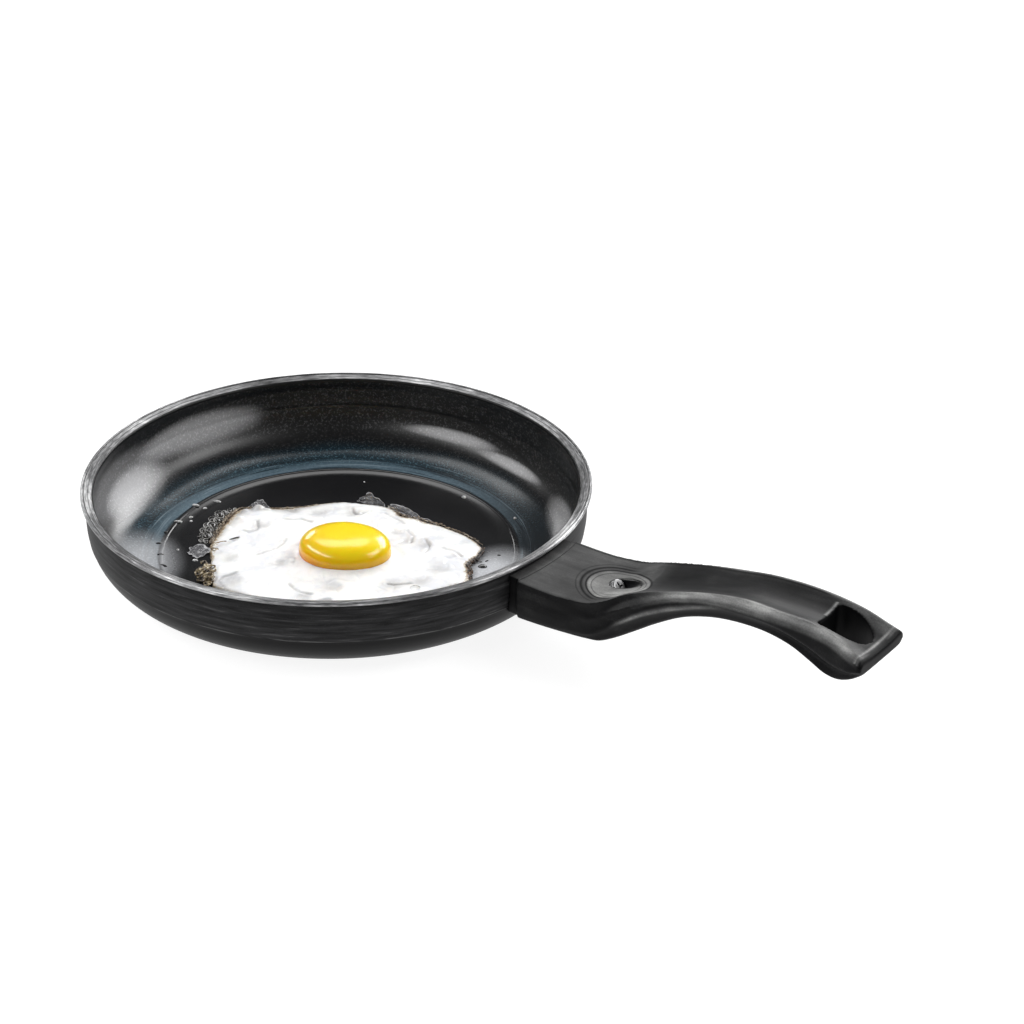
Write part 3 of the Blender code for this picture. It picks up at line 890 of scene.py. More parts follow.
def mark_handle(handle):
    """Marks what faces up, the highlights painted on its bands and edges, and the shade painted along
    the far edge, in the hanging hole, on the end face and beside the pan.
    """
    upward, shaded, rubbed = [], [], []
    for vertex in handle.data.vertices:
        x, y, z = vertex.co / MM
        tall = vertex.normal.z
        crest = curve_at(HANDLE_CREST, x)[0]
        shoulder, shoulder_top = curve_at(HANDLE_SHOULDER, x)
        share = (abs(y) - crest) / max(shoulder - crest, 0.4)
        # Highlights painted on the shoulder band, the ridge below it, the tail, and the edges of the
        # end and the hole.
        band = bell(share - 0.35, 0.62) * step_between(z, shoulder_top - 2.4, shoulder_top - 0.4)
        band *= step_between(x, 176, 206) * (1 - step_between(x, 282, 289))
        lower = abs(z - curve_at(HANDLE_RIDGE, x)[1])
        streak = 0.55 * bell(lower, 0.9) * step_between(abs(y), crest - 0.2, crest + 1.6)
        streak *= step_between(x, 168, 182) * (1 - step_between(x, 205, 232))
        tail = step_between(x, 256, 272) * step_between(abs(y), 6.0, 12.0) if tall > 0.5 else 0.0
        end_line = 0.9 * bell(x - (HANDLE_END - 3.4), 0.5) if tall > 0.4 else 0.0
        hole_edge = 0.0
        if 0 < y < 10 and tall > 0.6:
            hole_edge = bell(x * MM - (HANG_START - 0.9 * MM), 0.6 * MM)
        # Shade painted dark along the far top edge, in the hanging hole, on the end face and on the
        # neck's sides.
        shade_line = 0.0
        if y > 0 and tall > 0.6:
            shade_line = bell(crest - abs(y) - 1.4, 0.7) * (1 - step_between(x, 254, 262))
        mouth = 1.0 if HANG_START < x * MM < HANG_END + MM and abs(y) < 11.4 and tall < 0.6 else 0.0
        end = step_between(x, HANDLE_END - 2.2, HANDLE_END - 1.4)
        neck_shade = 1 - step_between(x, NECK_END - 0.6, NECK_END + 0.2) if tall < 0.6 else 0.0
        upward.append(min(max(tall, 0.0), 1.0))
        shaded.append(min(max(0.9 * shade_line, mouth, 0.95 * end, 0.45 * neck_shade), 1.0))
        rubbed.append(min(max(band, streak, 0.35 * tail, end_line, hole_edge), 1.0))
    for name, values in (("upward", upward), ("shaded", shaded), ("rubbed", rubbed)):
        mark(handle, name, values)


def build_handle():
    stations = [HANDLE_START, NECK_END - 0.6]
    stations += np.linspace(NECK_END, HANDLE_END - 1.1, 96).tolist()
    sections = [handle_section(at) for at in stations]
    for back, inset in HANDLE_END_ROUNDING:
        sections.append(handle_section(HANDLE_END - back, inset))
    handle = loft("handle_skin", sections)
    wall = [(radius + GAP, height) for radius, height in wall_curve(0.0, np.zeros(2), 40)]
    over, under = 80 * MM, -10 * MM  # clear of the handle, above and below
    profile = [(0.0, over), (wall[-1][0], over)] + wall[::-1]
    profile += [(BASE_RADIUS, under), (0.0, under)]
    cut(handle, spun("pan_cutter", profile, 180))
    recess = started("recess_cutter", "uv_sphere", segments=64, ring_count=32, radius=1)
    cut(handle, placed(recess, RECESS_CENTRE, RECESS_TILT, RECESS_RADII))
    reach = SCREW_SINK + SCREW_HEAD_DEPTH + GAP
    cut(handle, peg("screw_hole", SCREW_HOLE_RADIUS, reach + 20 * MM, reach / 2 - 10 * MM))
    outline = hang_outline()
    ends = [[Vector((x, y, height)) for x, y in outline] for height in HANG_CUT]
    cut(handle, loft("hang_cutter", ends))
    modify(handle, "REMESH", mode="VOXEL", voxel_size=HANDLE_VOXEL)
    modify(handle, "SMOOTH", factor=0.5, iterations=2)
    mark_handle(handle)
    dress(handle, "handle_moulding", moulding_finish())
    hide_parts("handle")


def build_screw():
    head = peg("screw_head", SCREW_HEAD_RADIUS, SCREW_HEAD_DEPTH, SCREW_SINK + SCREW_HEAD_DEPTH / 2)
    edit(head)
    leave_edit()
    for polygon in head.data.polygons:
        polygon.select = polygon.normal.dot(SCREW_AXIS) < -0.9
    bpy.ops.object.mode_set(mode="EDIT")
    bpy.ops.mesh.select_mode(type="FACE")
    bpy.ops.mesh.bevel(offset=0.7 * MM, segments=4, affect="EDGES")
    leave_edit()
    for turn in (0, math.pi / 2):
        blade = started("slot_cutter", "cube", size=1)
        blade.scale = SCREW_SLOT
        blade.rotation_euler = (0, 0, turn)
        settle(blade)
        cut(head, placed(blade, SCREW_MOUTH + SCREW_AXIS * SCREW_SINK, SCREW_TILT))
    steel = ("screw_steel", 900.0, 3.0, (84, 84, 86), (170, 170, 170), 0.28, 0.2, 0.02, 0.5)
    dress(head, "screw_steel", speckled_finish(*steel, metallic=1.0), degrees=35)
    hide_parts("handle_screw")


# ---------- Egg ----------


def ragged_reach(direction):
    """How far the white's outline lies from its centre, with its lobes and fine frills."""
    along, across = polar(1, direction - WHITE_TURN)
    reach = 1 / math.hypot(along / WHITE_RADII[0], across / WHITE_RADII[1])
    for middle, height, spread in WHITE_LOBES:
        reach += height * lobe(direction, middle, spread)
    where = Vector((*polar(1, direction), 0.3))
    for height, scale in ((0.55, 9), (0.42, 23), (0.28, 60)):
        reach += height * MM * noise(where * scale)
    return reach


# Blisters and dimples in the white: x, y, radius and height, in mm.
BLISTERS = (
    (-8.4, -32.5, 5.0, -0.7), (-5.0, -29.0, 3.4, 0.6), (-32.4, -42.2, 5.0, -0.6),
    (-29.0, -38.0, 3.0, 0.5), (-16.5, -59.3, 7.5, -0.8), (-19.0, -64.0, 4.0, 0.5),
    (25.2, -35.0, 6.0, -0.5), (12.0, -41.0, 5.0, 0.6), (-28.6, 18.5, 6.0, -0.5),
    (-40.0, 13.0, 5.0, -0.8), (-34.0, 15.5, 4.0, 0.5), (-14.1, 26.9, 6.0, -0.6), (-6.4, 32.8, 4.0, 0.6),
    (14.0, 26.0, 5.0, -0.7), (24.8, 21.6, 5.0, -0.6), (34.4, 22.6, 4.4, -0.7), (31.0, 27.0, 3.5, 0.6),
    (53.9, 8.9, 6.0, -0.5), (53.6, -5.9, 6.0, -0.5), (45.0, -16.0, 7.0, -0.4), (41.0, 34.0, 3.5, 0.5),
    (-12.9, -13.5, 3.0, -0.4), (-40.7, -9.1, 5.0, -0.4), (-50.3, -9.9, 4.5, 0.6),
    (-54.0, -3.0, 3.0, 0.5), (-42.0, -24.0, 3.5, 0.3), (20.0, -50.0, 4.5, -0.4),
    (-30.0, -25.0, 3.0, 0.3), (-5.0, -46.0, 3.4, 0.4), (-54.6, 4.4, 4.6, 4.6), (-50.2, 6.4, 2.6, 1.8),
    (-58.4, -1.6, 3.2, 2.2), (-55.0, -9.0, 2.6, 1.2), (-53.4, -19.6, 2.6, 1.2),
)

# Browned stretches of the edge: direction, spread, strength and width in mm.
BROWNINGS = (
    (204, 4, 0.56, 2.2), (196, 5, 0.60, 2.2), (188, 5, 0.64, 2.4), (180, 5, 0.66, 2.6),
    (172, 4, 0.50, 2.4), (161, 4, 0.62, 1.8), (150, 5, 0.46, 1.4), (138, 6, 0.42, 1.4),
    (212, 3, 0.42, 2.4), (219, 3, 0.34, 1.6), (233, 4, 0.25, 1.0), (112, 8, 0.40, 1.3),
    (97, 6, 0.55, 2.0), (86, 6, 0.66, 2.2), (75, 5, 0.58, 2.0), (61, 8, 0.44, 1.6), (50, 4, 0.55, 1.3),
    (42, 4, 0.70, 0.9), (33, 5, 1.00, 1.3), (22, 6, 1.00, 1.7), (9, 5, 0.60, 2.0), (-5, 7, 0.42, 2.8),
    (-40, 16, 0.32, 1.4), (-85, 14, 0.26, 1.2), (-120, 12, 0.22, 1.2),
)

# Stretches of the edge that set thin and see-through: direction, spread, width in mm.
THIN_EDGES = (
    (200, 6, 3.4), (184, 9, 6.0), (173, 6, 7.5), (158, 7, 4.0), (140, 8, 3.0), (100, 14, 1.6),
    (3, 6, 3.0), (-80, 30, 2.0),
)

# Soft folds where the white has wrinkled, as points in mm.
FOLDS = (
    ((7.0, -44.8), (12.0, -47.0), (16.2, -47.2), (21.0, -45.9)),
    ((-22.6, -33.4), (-20.7, -27.0), (-20.2, -21.0), (-20.6, -16.9), (-23.7, -10.4)),
    ((-44.2, -19.0), (-40.6, -18.7), (-39.4, -15.0), (-40.5, -12.3), (-44.9, -8.0)),
    ((39.3, 16.3), (38.6, 20.0), (36.9, 23.2), (31.3, 26.5)),
    ((43.7, 24.6), (49.0, 25.4), (54.1, 25.0)), ((-9.2, 27.1), (-9.6, 30.0), (-8.0, 33.3)),
    ((-17.5, 31.0), (-14.0, 28.0), (-10.0, 26.5)),
    ((-16.9, -63.2), (-22.0, -61.0), (-22.0, -57.5), (-18.9, -52.7)),
    ((43.2, -17.4), (47.5, -14.2), (51.5, -9.9)), ((26.1, -51.6), (28.0, -47.5), (31.2, -44.2)),
    ((-2.0, 38.0), (6.0, 37.0), (12.0, 35.0)), ((-36.0, 2.0), (-30.0, 7.0), (-24.0, 8.0)),
    ((18.0, 30.0), (24.0, 27.0), (27.0, 21.0)),
)


def distance_to_fold(point, fold):
    """How far a point lies from a fold's line, in mm."""
    nearest = 1e9
    for start, end in zip(fold, fold[1:]):
        start, end = Vector(start), Vector(end)
        along = end - start
        share = min(max((point - start).dot(along) / along.length_squared, 0.0), 1.0)
        nearest = min(nearest, (point - start - along * share).length)
    return nearest


def folded(x, y):
    """The folds at a place: their lift in mm, and how thin they leave the white, with their shade
    painted grey.
    """
    point = Vector((x, y)) / MM
    lift, thin = 0.0, 0.0
    for fold in FOLDS:
        if (point - Vector(fold[0])).length > 22:
            continue
        away = distance_to_fold(point, fold)
        lift += 0.30 * bell(away - 1.5, 1.0) - 0.38 * bell(away, 0.6)
        thin += 0.42 * bell(away, 0.8) + 0.14 * bell(away, 2.4)
    return lift, thin


def beyond_yolk(x, y):
    """About how far a place in plan lies outside the yolk, negative under it."""
    away = Vector((x - YOLK_CENTRE.x, y - YOLK_CENTRE.y))
    along = away.x * math.cos(YOLK_TURN) + away.y * math.sin(YOLK_TURN)
    across = away.y * math.cos(YOLK_TURN) - away.x * math.sin(YOLK_TURN)
    return (math.hypot(along / YOLK_RADII[0], across / YOLK_RADII[1]) - 1) * YOLK_RADII[1]


def white_height(x, y, inwards):
    """The white's top above its underside; inwards is the distance from its edge."""
    to_yolk = beyond_yolk(x, y)
    collar = bell(max(to_yolk, 0.0), 5 * MM, 1)
    body = WHITE_BODY + (WHITE_COLLAR - WHITE_BODY) * collar
    swell = 0.6 * MM * math.sin(x / (9 * MM)) * math.cos(y / (11 * MM) + 0.8)
    edge = min(1.0, inwards / (13 * MM)) ** 0.6
    height = WHITE_EDGE + (body + swell - WHITE_EDGE) * edge
    where = Vector((x, y, 0)) / MM
    puddles = noise(where / 11) * 0.50 + noise(where / 5.2 + Vector((7, 3, 1))) * 0.26
    creases = abs(noise(where / 7.5 + Vector((31, 5, 2))))
    puddles -= 0.35 * math.exp(-creases * 14)
    puddles += noise(where / 2.1) * 0.08
    away = step_between(to_yolk, 0.5 * MM, 6 * MM)
    height += puddles * MM * edge * (0.25 + 0.75 * away)
    for blister_x, blister_y, radius, rise in BLISTERS:
        distance = math.hypot(where.x - blister_x, where.y - blister_y) / radius
        if distance < 1.6:
            height += rise * MM * bell(distance, 0.62, 4) * edge
    rim = min(1.0, inwards / (0.9 * MM))
    height *= 0.30 + 0.70 * math.sqrt(rim * (2 - rim))
    sunk = step_between(-to_yolk, 0.6 * MM, 3.0 * MM)
    return height * (1 - sunk) + 1.2 * MM * sunk


def build_white():
    white = started("egg_white_skin", "circle", vertices=WHITE_SPOKES, radius=1)
    edit(white, action="SELECT")
    for number in range(1, WHITE_RINGS):
        share = 1 - (number / WHITE_RINGS) ** 1.25
        before = 1 - ((number - 1) / WHITE_RINGS) ** 1.25
        bpy.ops.mesh.extrude_region_move()
        bpy.ops.transform.resize(value=(share / before, share / before, 1), center_override=(0, 0, 0))
    bpy.ops.mesh.extrude_region_move()
    bpy.ops.mesh.merge(type="CENTER")
    leave_edit()
    floor = FLOOR_TOP + 0.05 * MM
    browned, thin = [], []
    for vertex in white.data.vertices:
        share = math.hypot(vertex.co.x, vertex.co.y)
        direction = math.degrees(math.atan2(vertex.co.y, vertex.co.x))
        reach = ragged_reach(direction)
        along, across = polar(reach * share, direction)
        x, y = WHITE_CENTRE.x + along, WHITE_CENTRE.y + across
        inwards = reach * max(1 - share, 0.0)
        vertex.co = (x, y, floor + white_height(x, y, inwards))
        lift, hollow = folded(x, y)
        vertex.co.z += lift * MM * min(1.0, inwards / (6 * MM))
        # Dimples: shade painted grey in them.
        for middle_x, middle_y, radius, rise in BLISTERS:
            away = math.hypot(x / MM - middle_x, y / MM - middle_y) / radius
            if rise < 0 and away < 2:
                hollow += 0.55 * bell(away, 0.85)
        for middle, spread, width in THIN_EDGES:
            hollow += 0.95 * lobe(direction, middle, spread) * bell(inwards, width * MM)
        broken = noise(Vector((*polar(1, direction), 2.0)) * 7)
        heat = 0.20 * step_between(broken, -0.1, 0.35) * bell(inwards, 0.40 * MM, 1)
        for middle, spread, strength, width in BROWNINGS:
            near = lobe(direction, middle, spread)
            if near > FAINTEST:
                heat += strength * near * bell(inwards, width * MM, 1.6)
        browned.append(min(heat, 1.2))
        thin.append(min(hollow + 0.35 * bell(inwards, 1.2 * MM, 1), 1.0))
    mark(white, "browned", browned)
    mark(white, "thin", thin)
    edit(white, "EDGE")
    bpy.ops.mesh.select_non_manifold(extend=False)
    drop = -0.30 * WHITE_EDGE
    bpy.ops.mesh.extrude_region_move(TRANSFORM_OT_translate={"value": (0, 0, drop)})
    bpy.ops.mesh.edge_face_add()
    turn_outwards()
    dress(white, "egg_white", white_finish())
    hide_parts("egg_white")


def build_yolk():
    yolk = started("egg_yolk_skin", "uv_sphere", segments=144, ring_count=96, radius=1)

    def place(co):
        flat = math.hypot(co.x, co.y)
        tall = YOLK_RISE if co.z > 0 else YOLK_DROP
        turn = math.atan2(co.y, co.x)
        power = 2 / YOLK_BLUNTNESS
        reach = flat**power if flat > 1e-6 else 0.0
        reach *= 1 + 0.008 * math.sin(2 * turn + 0.6) + 0.008 * math.sin(3 * turn + 2.0)
        along = YOLK_RADII[0] * reach * math.cos(turn)
        across = YOLK_RADII[1] * reach * math.sin(turn)
        x = along * math.cos(YOLK_TURN) - across * math.sin(YOLK_TURN)
        y = along * math.sin(YOLK_TURN) + across * math.cos(YOLK_TURN)
        height = tall * math.copysign(abs(co.z) ** power, co.z)
        height += 0.12 * MM * noise(Vector((co.x, co.y, 0.0)) * 3.0)
        return YOLK_CENTRE + Vector((x, y, height))

    reshape(yolk, place)
    dress(yolk, "egg_yolk", yolk_finish())
    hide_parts("egg_yolk")


# ---------- Fried edges, froth, film and drops ----------


def strands(name, lines, sides=3):
    """Joined tubes: each line is a list of (point in metres, radius in metres)."""
    data = bpy.data.curves.new(name, "CURVE")
    data.dimensions = "3D"
    data.bevel_depth = 1.0
    data.bevel_resolution = sides
    data.resolution_u = 4
    data.use_fill_caps = True
    for line in lines:
        spline = data.splines.new("NURBS")
        spline.points.add(len(line) - 1)
        spline.order_u = 4
        spline.use_endpoint_u = True
        for knot, (point, radius) in zip(spline.points, line):
            knot.co = (*point, 1.0)
            knot.radius = radius
    piece = bpy.data.objects.new(name, data)
    bpy.context.scene.collection.objects.link(piece)
    select_only(piece)
    bpy.ops.object.convert(target="MESH")
    return bpy.context.object


def edge_point(direction, outwards, height):
    """A point by the white's edge: a direction, then mm outwards and mm above the floor."""
    x, y = polar(ragged_reach(direction) + outwards * MM, direction)
    return Vector((WHITE_CENTRE.x + x, WHITE_CENTRE.y + y, FLOOR_TOP + height * MM))


def wandering(first, last, step, outwards, height, thick, wander, seed):
    """A tube's line that wanders along the white's edge."""
    line = []
    count = max(4, int(abs(last - first) / step))
    for index in range(count + 1):
        direction = first + (last - first) * index / count
        place = Vector((direction * 0.9, seed * 3.7, 0.0))
        out = outwards + wander * noise(place) + 0.5 * wander * noise(place * 2.9)
        high = max(height + 0.6 * wander * noise(place * 1.3 + Vector((0, 9, 0))), thick)
        ends = math.sin(math.pi * (index + 0.6) / (count + 1.2)) ** 0.4
        girth = thick * ends * (1 + 0.45 * noise(place * 3.1 + Vector((5, 0, 0))))
        line.append((edge_point(direction, out, high), girth * MM))
    return line


def curl(centre, radius, turns, thick, seed, rise=0.6):
    """A small loose loop, in mm, lying nearly flat."""
    line = []
    steps = max(6, int(turns * 12))
    start = seed * 2.1
    for index in range(steps + 1):
        share = index / steps
        turn = start + 2 * math.pi * turns * share
        wide = radius * (0.75 + 0.25 * math.cos(3 * turn + seed)) * (1 - 0.25 * share)
        point = Vector(centre) + Vector((wide * math.cos(turn), wide * math.sin(turn), rise * share))
        line.append((point * MM, thick * MM * (0.7 + 0.3 * math.sin(math.pi * share))))
    return line


def strewn(name, pattern, items, roughness=None):
    """Joined copies of a pattern: a place and half-sizes in mm and three turns for each."""
    copies = []
    for place, sizes, turns in items:
        copy = pattern.copy()
        copy.data = pattern.data.copy()
        bpy.context.scene.collection.objects.link(copy)
        if roughness is not None:
            shift = Vector((*place[:2], roughness))
            for vertex in copy.data.vertices:
                vertex.co *= 1 + 0.75 * noise(vertex.co * 1.6 + shift)
        copy.scale = Vector(sizes) * MM
        copy.rotation_euler = turns
        copy.location = Vector(place) * MM
        copies.append(copy)
    bpy.data.objects.remove(pattern)
    settle(*copies)
    return joined(name, *copies)


def crumbs(name, places, seed):
    """Rough little lumps, one for each (x, y, z, size) in mm, squashed and turned by chance."""
    toss = random.Random(seed)
    items = []
    for *place, size in places:
        sizes = (size * toss.uniform(0.8, 1.5), size, size * toss.uniform(0.45, 0.8))
        turns = (toss.uniform(-0.5, 0.5), toss.uniform(-0.5, 0.5), toss.uniform(0, 6.3))
        items.append((place, sizes, turns))
    pattern = started(name + "_pattern", "ico_sphere", subdivisions=2, radius=1)
    return strewn(name, pattern, items, seed)


def domes(name, rows):
    """Flattened balls: x, y, z, half-length, half-width, height in mm, turn in degrees."""
    items = [(row[:3], row[3:6], (0, 0, math.radians(row[6]))) for row in rows]
    pattern = started(name + "_pattern", "uv_sphere", segments=20, ring_count=10, radius=1)
    return strewn(name, pattern, items)


def along_edge(first, last, count, out_low, out_high, size_low, size_high, seed):
    """Places strewn along the white's edge: (x, y, z, size) in mm."""
    toss = random.Random(seed)
    places = []
    for _ in range(count):
        direction = toss.uniform(first, last)
        size = toss.uniform(size_low, size_high)
        point = edge_point(direction, toss.uniform(out_low, out_high), toss.uniform(0.5, 1.6)) / MM
        places.append((point.x, point.y, max(point.z, DOME_FOOT + size * 0.4), size))
    return places


# Threads along the upper left edge, five of each kind: first and last direction, step,
# share of the kind's reach, drop in mm, thickness, wander and seed.
UPPER_LEFT_THREADS = (
    (182, 168, 0.55, 1.0, 0.0, 0.19, 1.7, 0), (170, 156, 0.55, 0.8, 0.2, 0.17, 1.3, 5),
    (158, 143, 0.60, 0.7, 0.4, 0.15, 1.1, 10), (194, 180, 0.50, 1.0, 0.0, 0.20, 1.8, 15),
    (207, 192, 0.50, 1.0, 0.2, 0.18, 1.6, 50),
)

# Threads elsewhere: stretches of the edge, then the kinds that lie along each of them, as
# what is taken off the first and last direction, step, outwards, height, thickness, wander
# and seed.
EDGE_THREADS = (
    (
        ((146, 126), (126, 104), (104, 84), (84, 56), (-10, -34), (-50, -78)),
        ((0, 0, 0.8, -0.1, 1.0, 0.15, 1.0, 20), (3, -4, 0.8, 0.5, 0.7, 0.12, 1.0, 30)),
    ),
    (((-92, -112), (-128, -150)), ((0, 0, 0.8, 0.0, 0.9, 0.17, 1.1, 40),)),
    (
        ((106, 92), (96, 80), (84, 70), (72, 58), (60, 47)),
        ((0, 0, 0.5, 0.4, 2.0, 0.20, 1.5, 90), (2, 2, 0.5, 0.9, 1.6, 0.16, 1.3, 95)),
    ),
)


def build_lace():
    """Thin browned threads along the upper left edge and here and there round it."""
    lines = []
    for number in range(5):
        out, high = -0.7 + 0.5 * number, 2.3 - 0.28 * number
        for first, last, step, share, drop, thick, wander, seed in UPPER_LEFT_THREADS:
            places = (out * share, high - drop)
            lines.append(wandering(first, last, step, *places, thick, wander, number + seed))
    for stretches, kinds in EDGE_THREADS:
        for number, (first, last) in enumerate(stretches):
            for off_first, off_last, *kind, seed in kinds:
                lines.append(wandering(first - off_first, last - off_last, *kind, number + seed))
    lace = strands("browned_lace", lines, 2)
    stops = ((0.34, 38, 30, 24), (0.46, 96, 80, 62), (0.56, 166, 150, 128), (0.68, 226, 220, 210))
    dress(lace, "egg_white", crisp_finish("lace_browned", *stops))


# Stray dark threads, as wandering() takes them.
STRAY_CRUST = (
    (60, 42, 0.6, 0.1, 1.1, 0.16, 0.9, 79), (4, -14, 0.6, -0.2, 1.2, 0.22, 1.0, 80),
    (232, 224, 0.6, 0.0, 1.4, 0.26, 1.4, 81),
)

# Where the edge has crumbled, as along_edge() takes it.
CRUMBLED = (
    (3, 34, 70, -1.4, 1.5, 0.35, 0.95, 5), (30, 44, 26, -0.4, 1.0, 0.25, 0.60, 6),
    (44, 70, 16, -0.2, 0.8, 0.18, 0.40, 7), (156, 206, 60, -0.8, 1.4, 0.20, 0.55, 8),
)


def build_crust():
    """The dark fried ridge on the right, and the curled lump at the lower left."""
    lines = []
    for seed in range(4):
        out = -0.5 + 0.4 * seed
        lines.append(wandering(44, 33, 0.5, out, 1.5, 0.26, 1.0, seed + 50))
        lines.append(wandering(35, 19, 0.5, out, 1.6, 0.36, 1.6, seed + 60))
        lines.append(wandering(21, 4, 0.5, out - 0.3, 1.4, 0.30, 1.6, seed + 70))
    lines += [wandering(*stray) for stray in STRAY_CRUST]
    ridge = strands("crust_threads", lines, 2)
    places = [place for stretch in CRUMBLED for place in along_edge(*stretch)]
    crust = joined("dark_crust", ridge, crumbs("crust_crumbs", places, 9))
    stops = ((0.38, 14, 11, 9), (0.50, 40, 29, 20), (0.61, 104, 74, 44), (0.74, 196, 170, 130))
    dress(crust, "egg_white", crisp_finish("crust_dark", *stops, scale=360.0))

    curls = []
    toss = random.Random(21)
    for seed in range(18):
        share = seed / 17
        x = -36.5 + 10.0 * share + toss.uniform(-2.6, 2.6)
        y = -54.5 - 9.5 * share + toss.uniform(-3.0, 3.0)
        centre = (x, y, 4.2 + toss.uniform(0.0, 2.6))
        size = toss.uniform(1.5, 2.8)
        curls.append(curl(centre, size, toss.uniform(0.6, 1.2), toss.uniform(0.28, 0.60), seed))
    curls.append(curl((-41.6, -42.2, 7.4), 2.2, 1.1, 0.22, 3, 0.1))
    curls.append(curl((-40.8, -41.4, 7.4), 1.1, 0.9, 0.18, 6, 0.1))
    squiggle = ((-46.4, -38.0), (-46.0, -36.0), (-44.9, -35.4), (-45.3, -33.6), (-43.2, -32.0))
    curls.append([(Vector((x, y, 6.9)) * MM, 0.24 * MM) for x, y in squiggle])
    curls.append([(Vector((x + 0.5, y - 1.2, 6.7)) * MM, 0.16 * MM) for x, y in squiggle[:3]])
    lump = strands("curl_threads", curls, 3)
    blobs = []
    for _ in range(26):
        share = toss.uniform(0, 1)
        x = -35.5 + 9.0 * share + toss.uniform(-2.2, 2.2)
        y = -55.0 - 9.0 * share + toss.uniform(-2.6, 2.6)
        blobs.append((x, y, 3.9 + toss.uniform(0, 1.6), toss.uniform(0.5, 1.5)))
    lump = joined("crust_curls", lump, crumbs("curl_crumbs", blobs, 14))
    stops = ((0.38, 26, 20, 13), (0.48, 92, 76, 50), (0.56, 172, 154, 118), (0.64, 242, 236, 222))
    dress(lump, "egg_white", crisp_finish("crust_curled", *stops, scale=300.0))


def skin(corners, lift, seed):
    """A fine crumpled skin between four corners in mm, lifted along its far side."""
    piece = started("skin", "grid", x_subdivisions=40, y_subdivisions=18, size=2)
    shares = [((v.co.x + 1) / 2, (v.co.y + 1) / 2) for v in piece.data.vertices]
    hems = []
    for u, v in shares:
        rough = 0.05 * noise(Vector((u * 6, v * 4, seed * 3.1)))
        edge = min(u * 2.2, (1 - u) * 2.2, v, 1 - v) + rough
        hems.append(1 - step_between(edge, 0.03, 0.13))
    mark(piece, "hem", hems)
    low_left, low_right, high_right, high_left = (Vector(point) for point in corners)

    def place(co):
        u, v = (co.x + 1) / 2, (co.y + 1) / 2
        point = low_left.lerp(low_right, u).lerp(high_left.lerp(high_right, u), v)
        where = Vector((u * 3.1, v * 2.2, seed * 4.3))
        rise = v * max(math.sin(math.pi * u), 0.0) ** 0.8
        peak = 1 + 0.45 * noise(Vector((u * 4.0, seed * 2.0, 0)))
        ripple = noise(where) * 0.7 + noise(where * 3.1) * 0.35
        point.z += lift * rise * peak + 0.6 * ripple * (0.25 + rise)
        point.x += 1.1 * noise(where * 1.6 + Vector((3, 1, 0)))
        point.y += 1.1 * noise(where * 1.6 + Vector((1, 8, 0)))
        point.z = max(point.z, 3.45)
        return point * MM

    reshape(piece, place)
    modify(piece, "SOLIDIFY", thickness=0.16 * MM, offset=0.0)
    return piece


# Each skin: its corners in mm, near side first, how far it lifts, and its seed.
CRISP_FLAPS = (
    (((-24, 42.5, 3.8), (-8, 45.0, 3.8), (-9.5, 46.4, 4.8), (-23, 45.0, 5.4)), 3.6, 1),
    (((-8, 46.0, 3.7), (12, 45.0, 3.7), (11.5, 47.2, 4.6), (-7.0, 48.8, 4.6)), 1.9, 2),
    (((12.0, 45.4, 3.6), (25, 43.6, 3.6), (24, 45.6, 4.2), (12.5, 47.2, 4.6)), 1.1, 3),
    (((-62, 3.0, 4.2), (-50.0, 7.4, 4.2), (-53.0, 9.6, 5.2), (-61, 6.8, 5.0)), 3.2, 5),
    (((-61, 1.0, 4.4), (-54.0, 4.0, 4.4), (-55.0, 6.6, 5.6), (-60, 4.8, 5.4)), 2.0, 6),
)
FILM_FLAKE = (
    (((-55, -47.0, 3.6), (-47, -49.0, 3.6), (-45.5, -40.5, 4.2), (-54.5, -38.0, 3.9)), 0.7, 7),
    (((-57, -43.5, 3.5), (-52, -46.0, 3.6), (-51, -39.5, 3.8), (-56, -37.5, 3.6)), 0.4, 8),
)


def build_skins():
    """Curled crisp flaps at the far and the left edge, and a flake of film on the floor."""
    for name, sheets in (("crisp_flaps", CRISP_FLAPS), ("film_flake", FILM_FLAKE)):
        piece = joined(name, *[skin(*sheet) for sheet in sheets])
        dress(piece, "egg_white", film_finish(), degrees=50)


# Bubbles of froth beside the left edge: x, y and radius in mm.
FROTH = (
    (-67.3, -10.3, 2.2), (-67.3, -6.7, 1.3), (-67.0, -16.1, 1.6), (-64.2, -15.2, 1.8),
    (-62.6, -20.6, 2.2), (-64.9, -22.3, 1.5), (-60.5, -25.4, 2.0), (-62.6, -27.0, 1.6),
    (-57.5, -30.2, 2.1), (-59.7, -31.3, 1.5), (-56.1, -28.5, 1.4), (-58.6, -23.3, 1.5),
    (-63.4, -13.3, 1.2), (-66.6, -3.8, 1.2), (-54.7, -33.9, 1.2), (-65.5, -1.0, 0.9),
    (-67.8, -12.0, 1.2), (-57.3, -34.6, 1.0),
)
LONE_RING = (56.1, -13.0, 2.2)  # lies flat on the white, at the right
LONE_RING_HEIGHT = 6.75


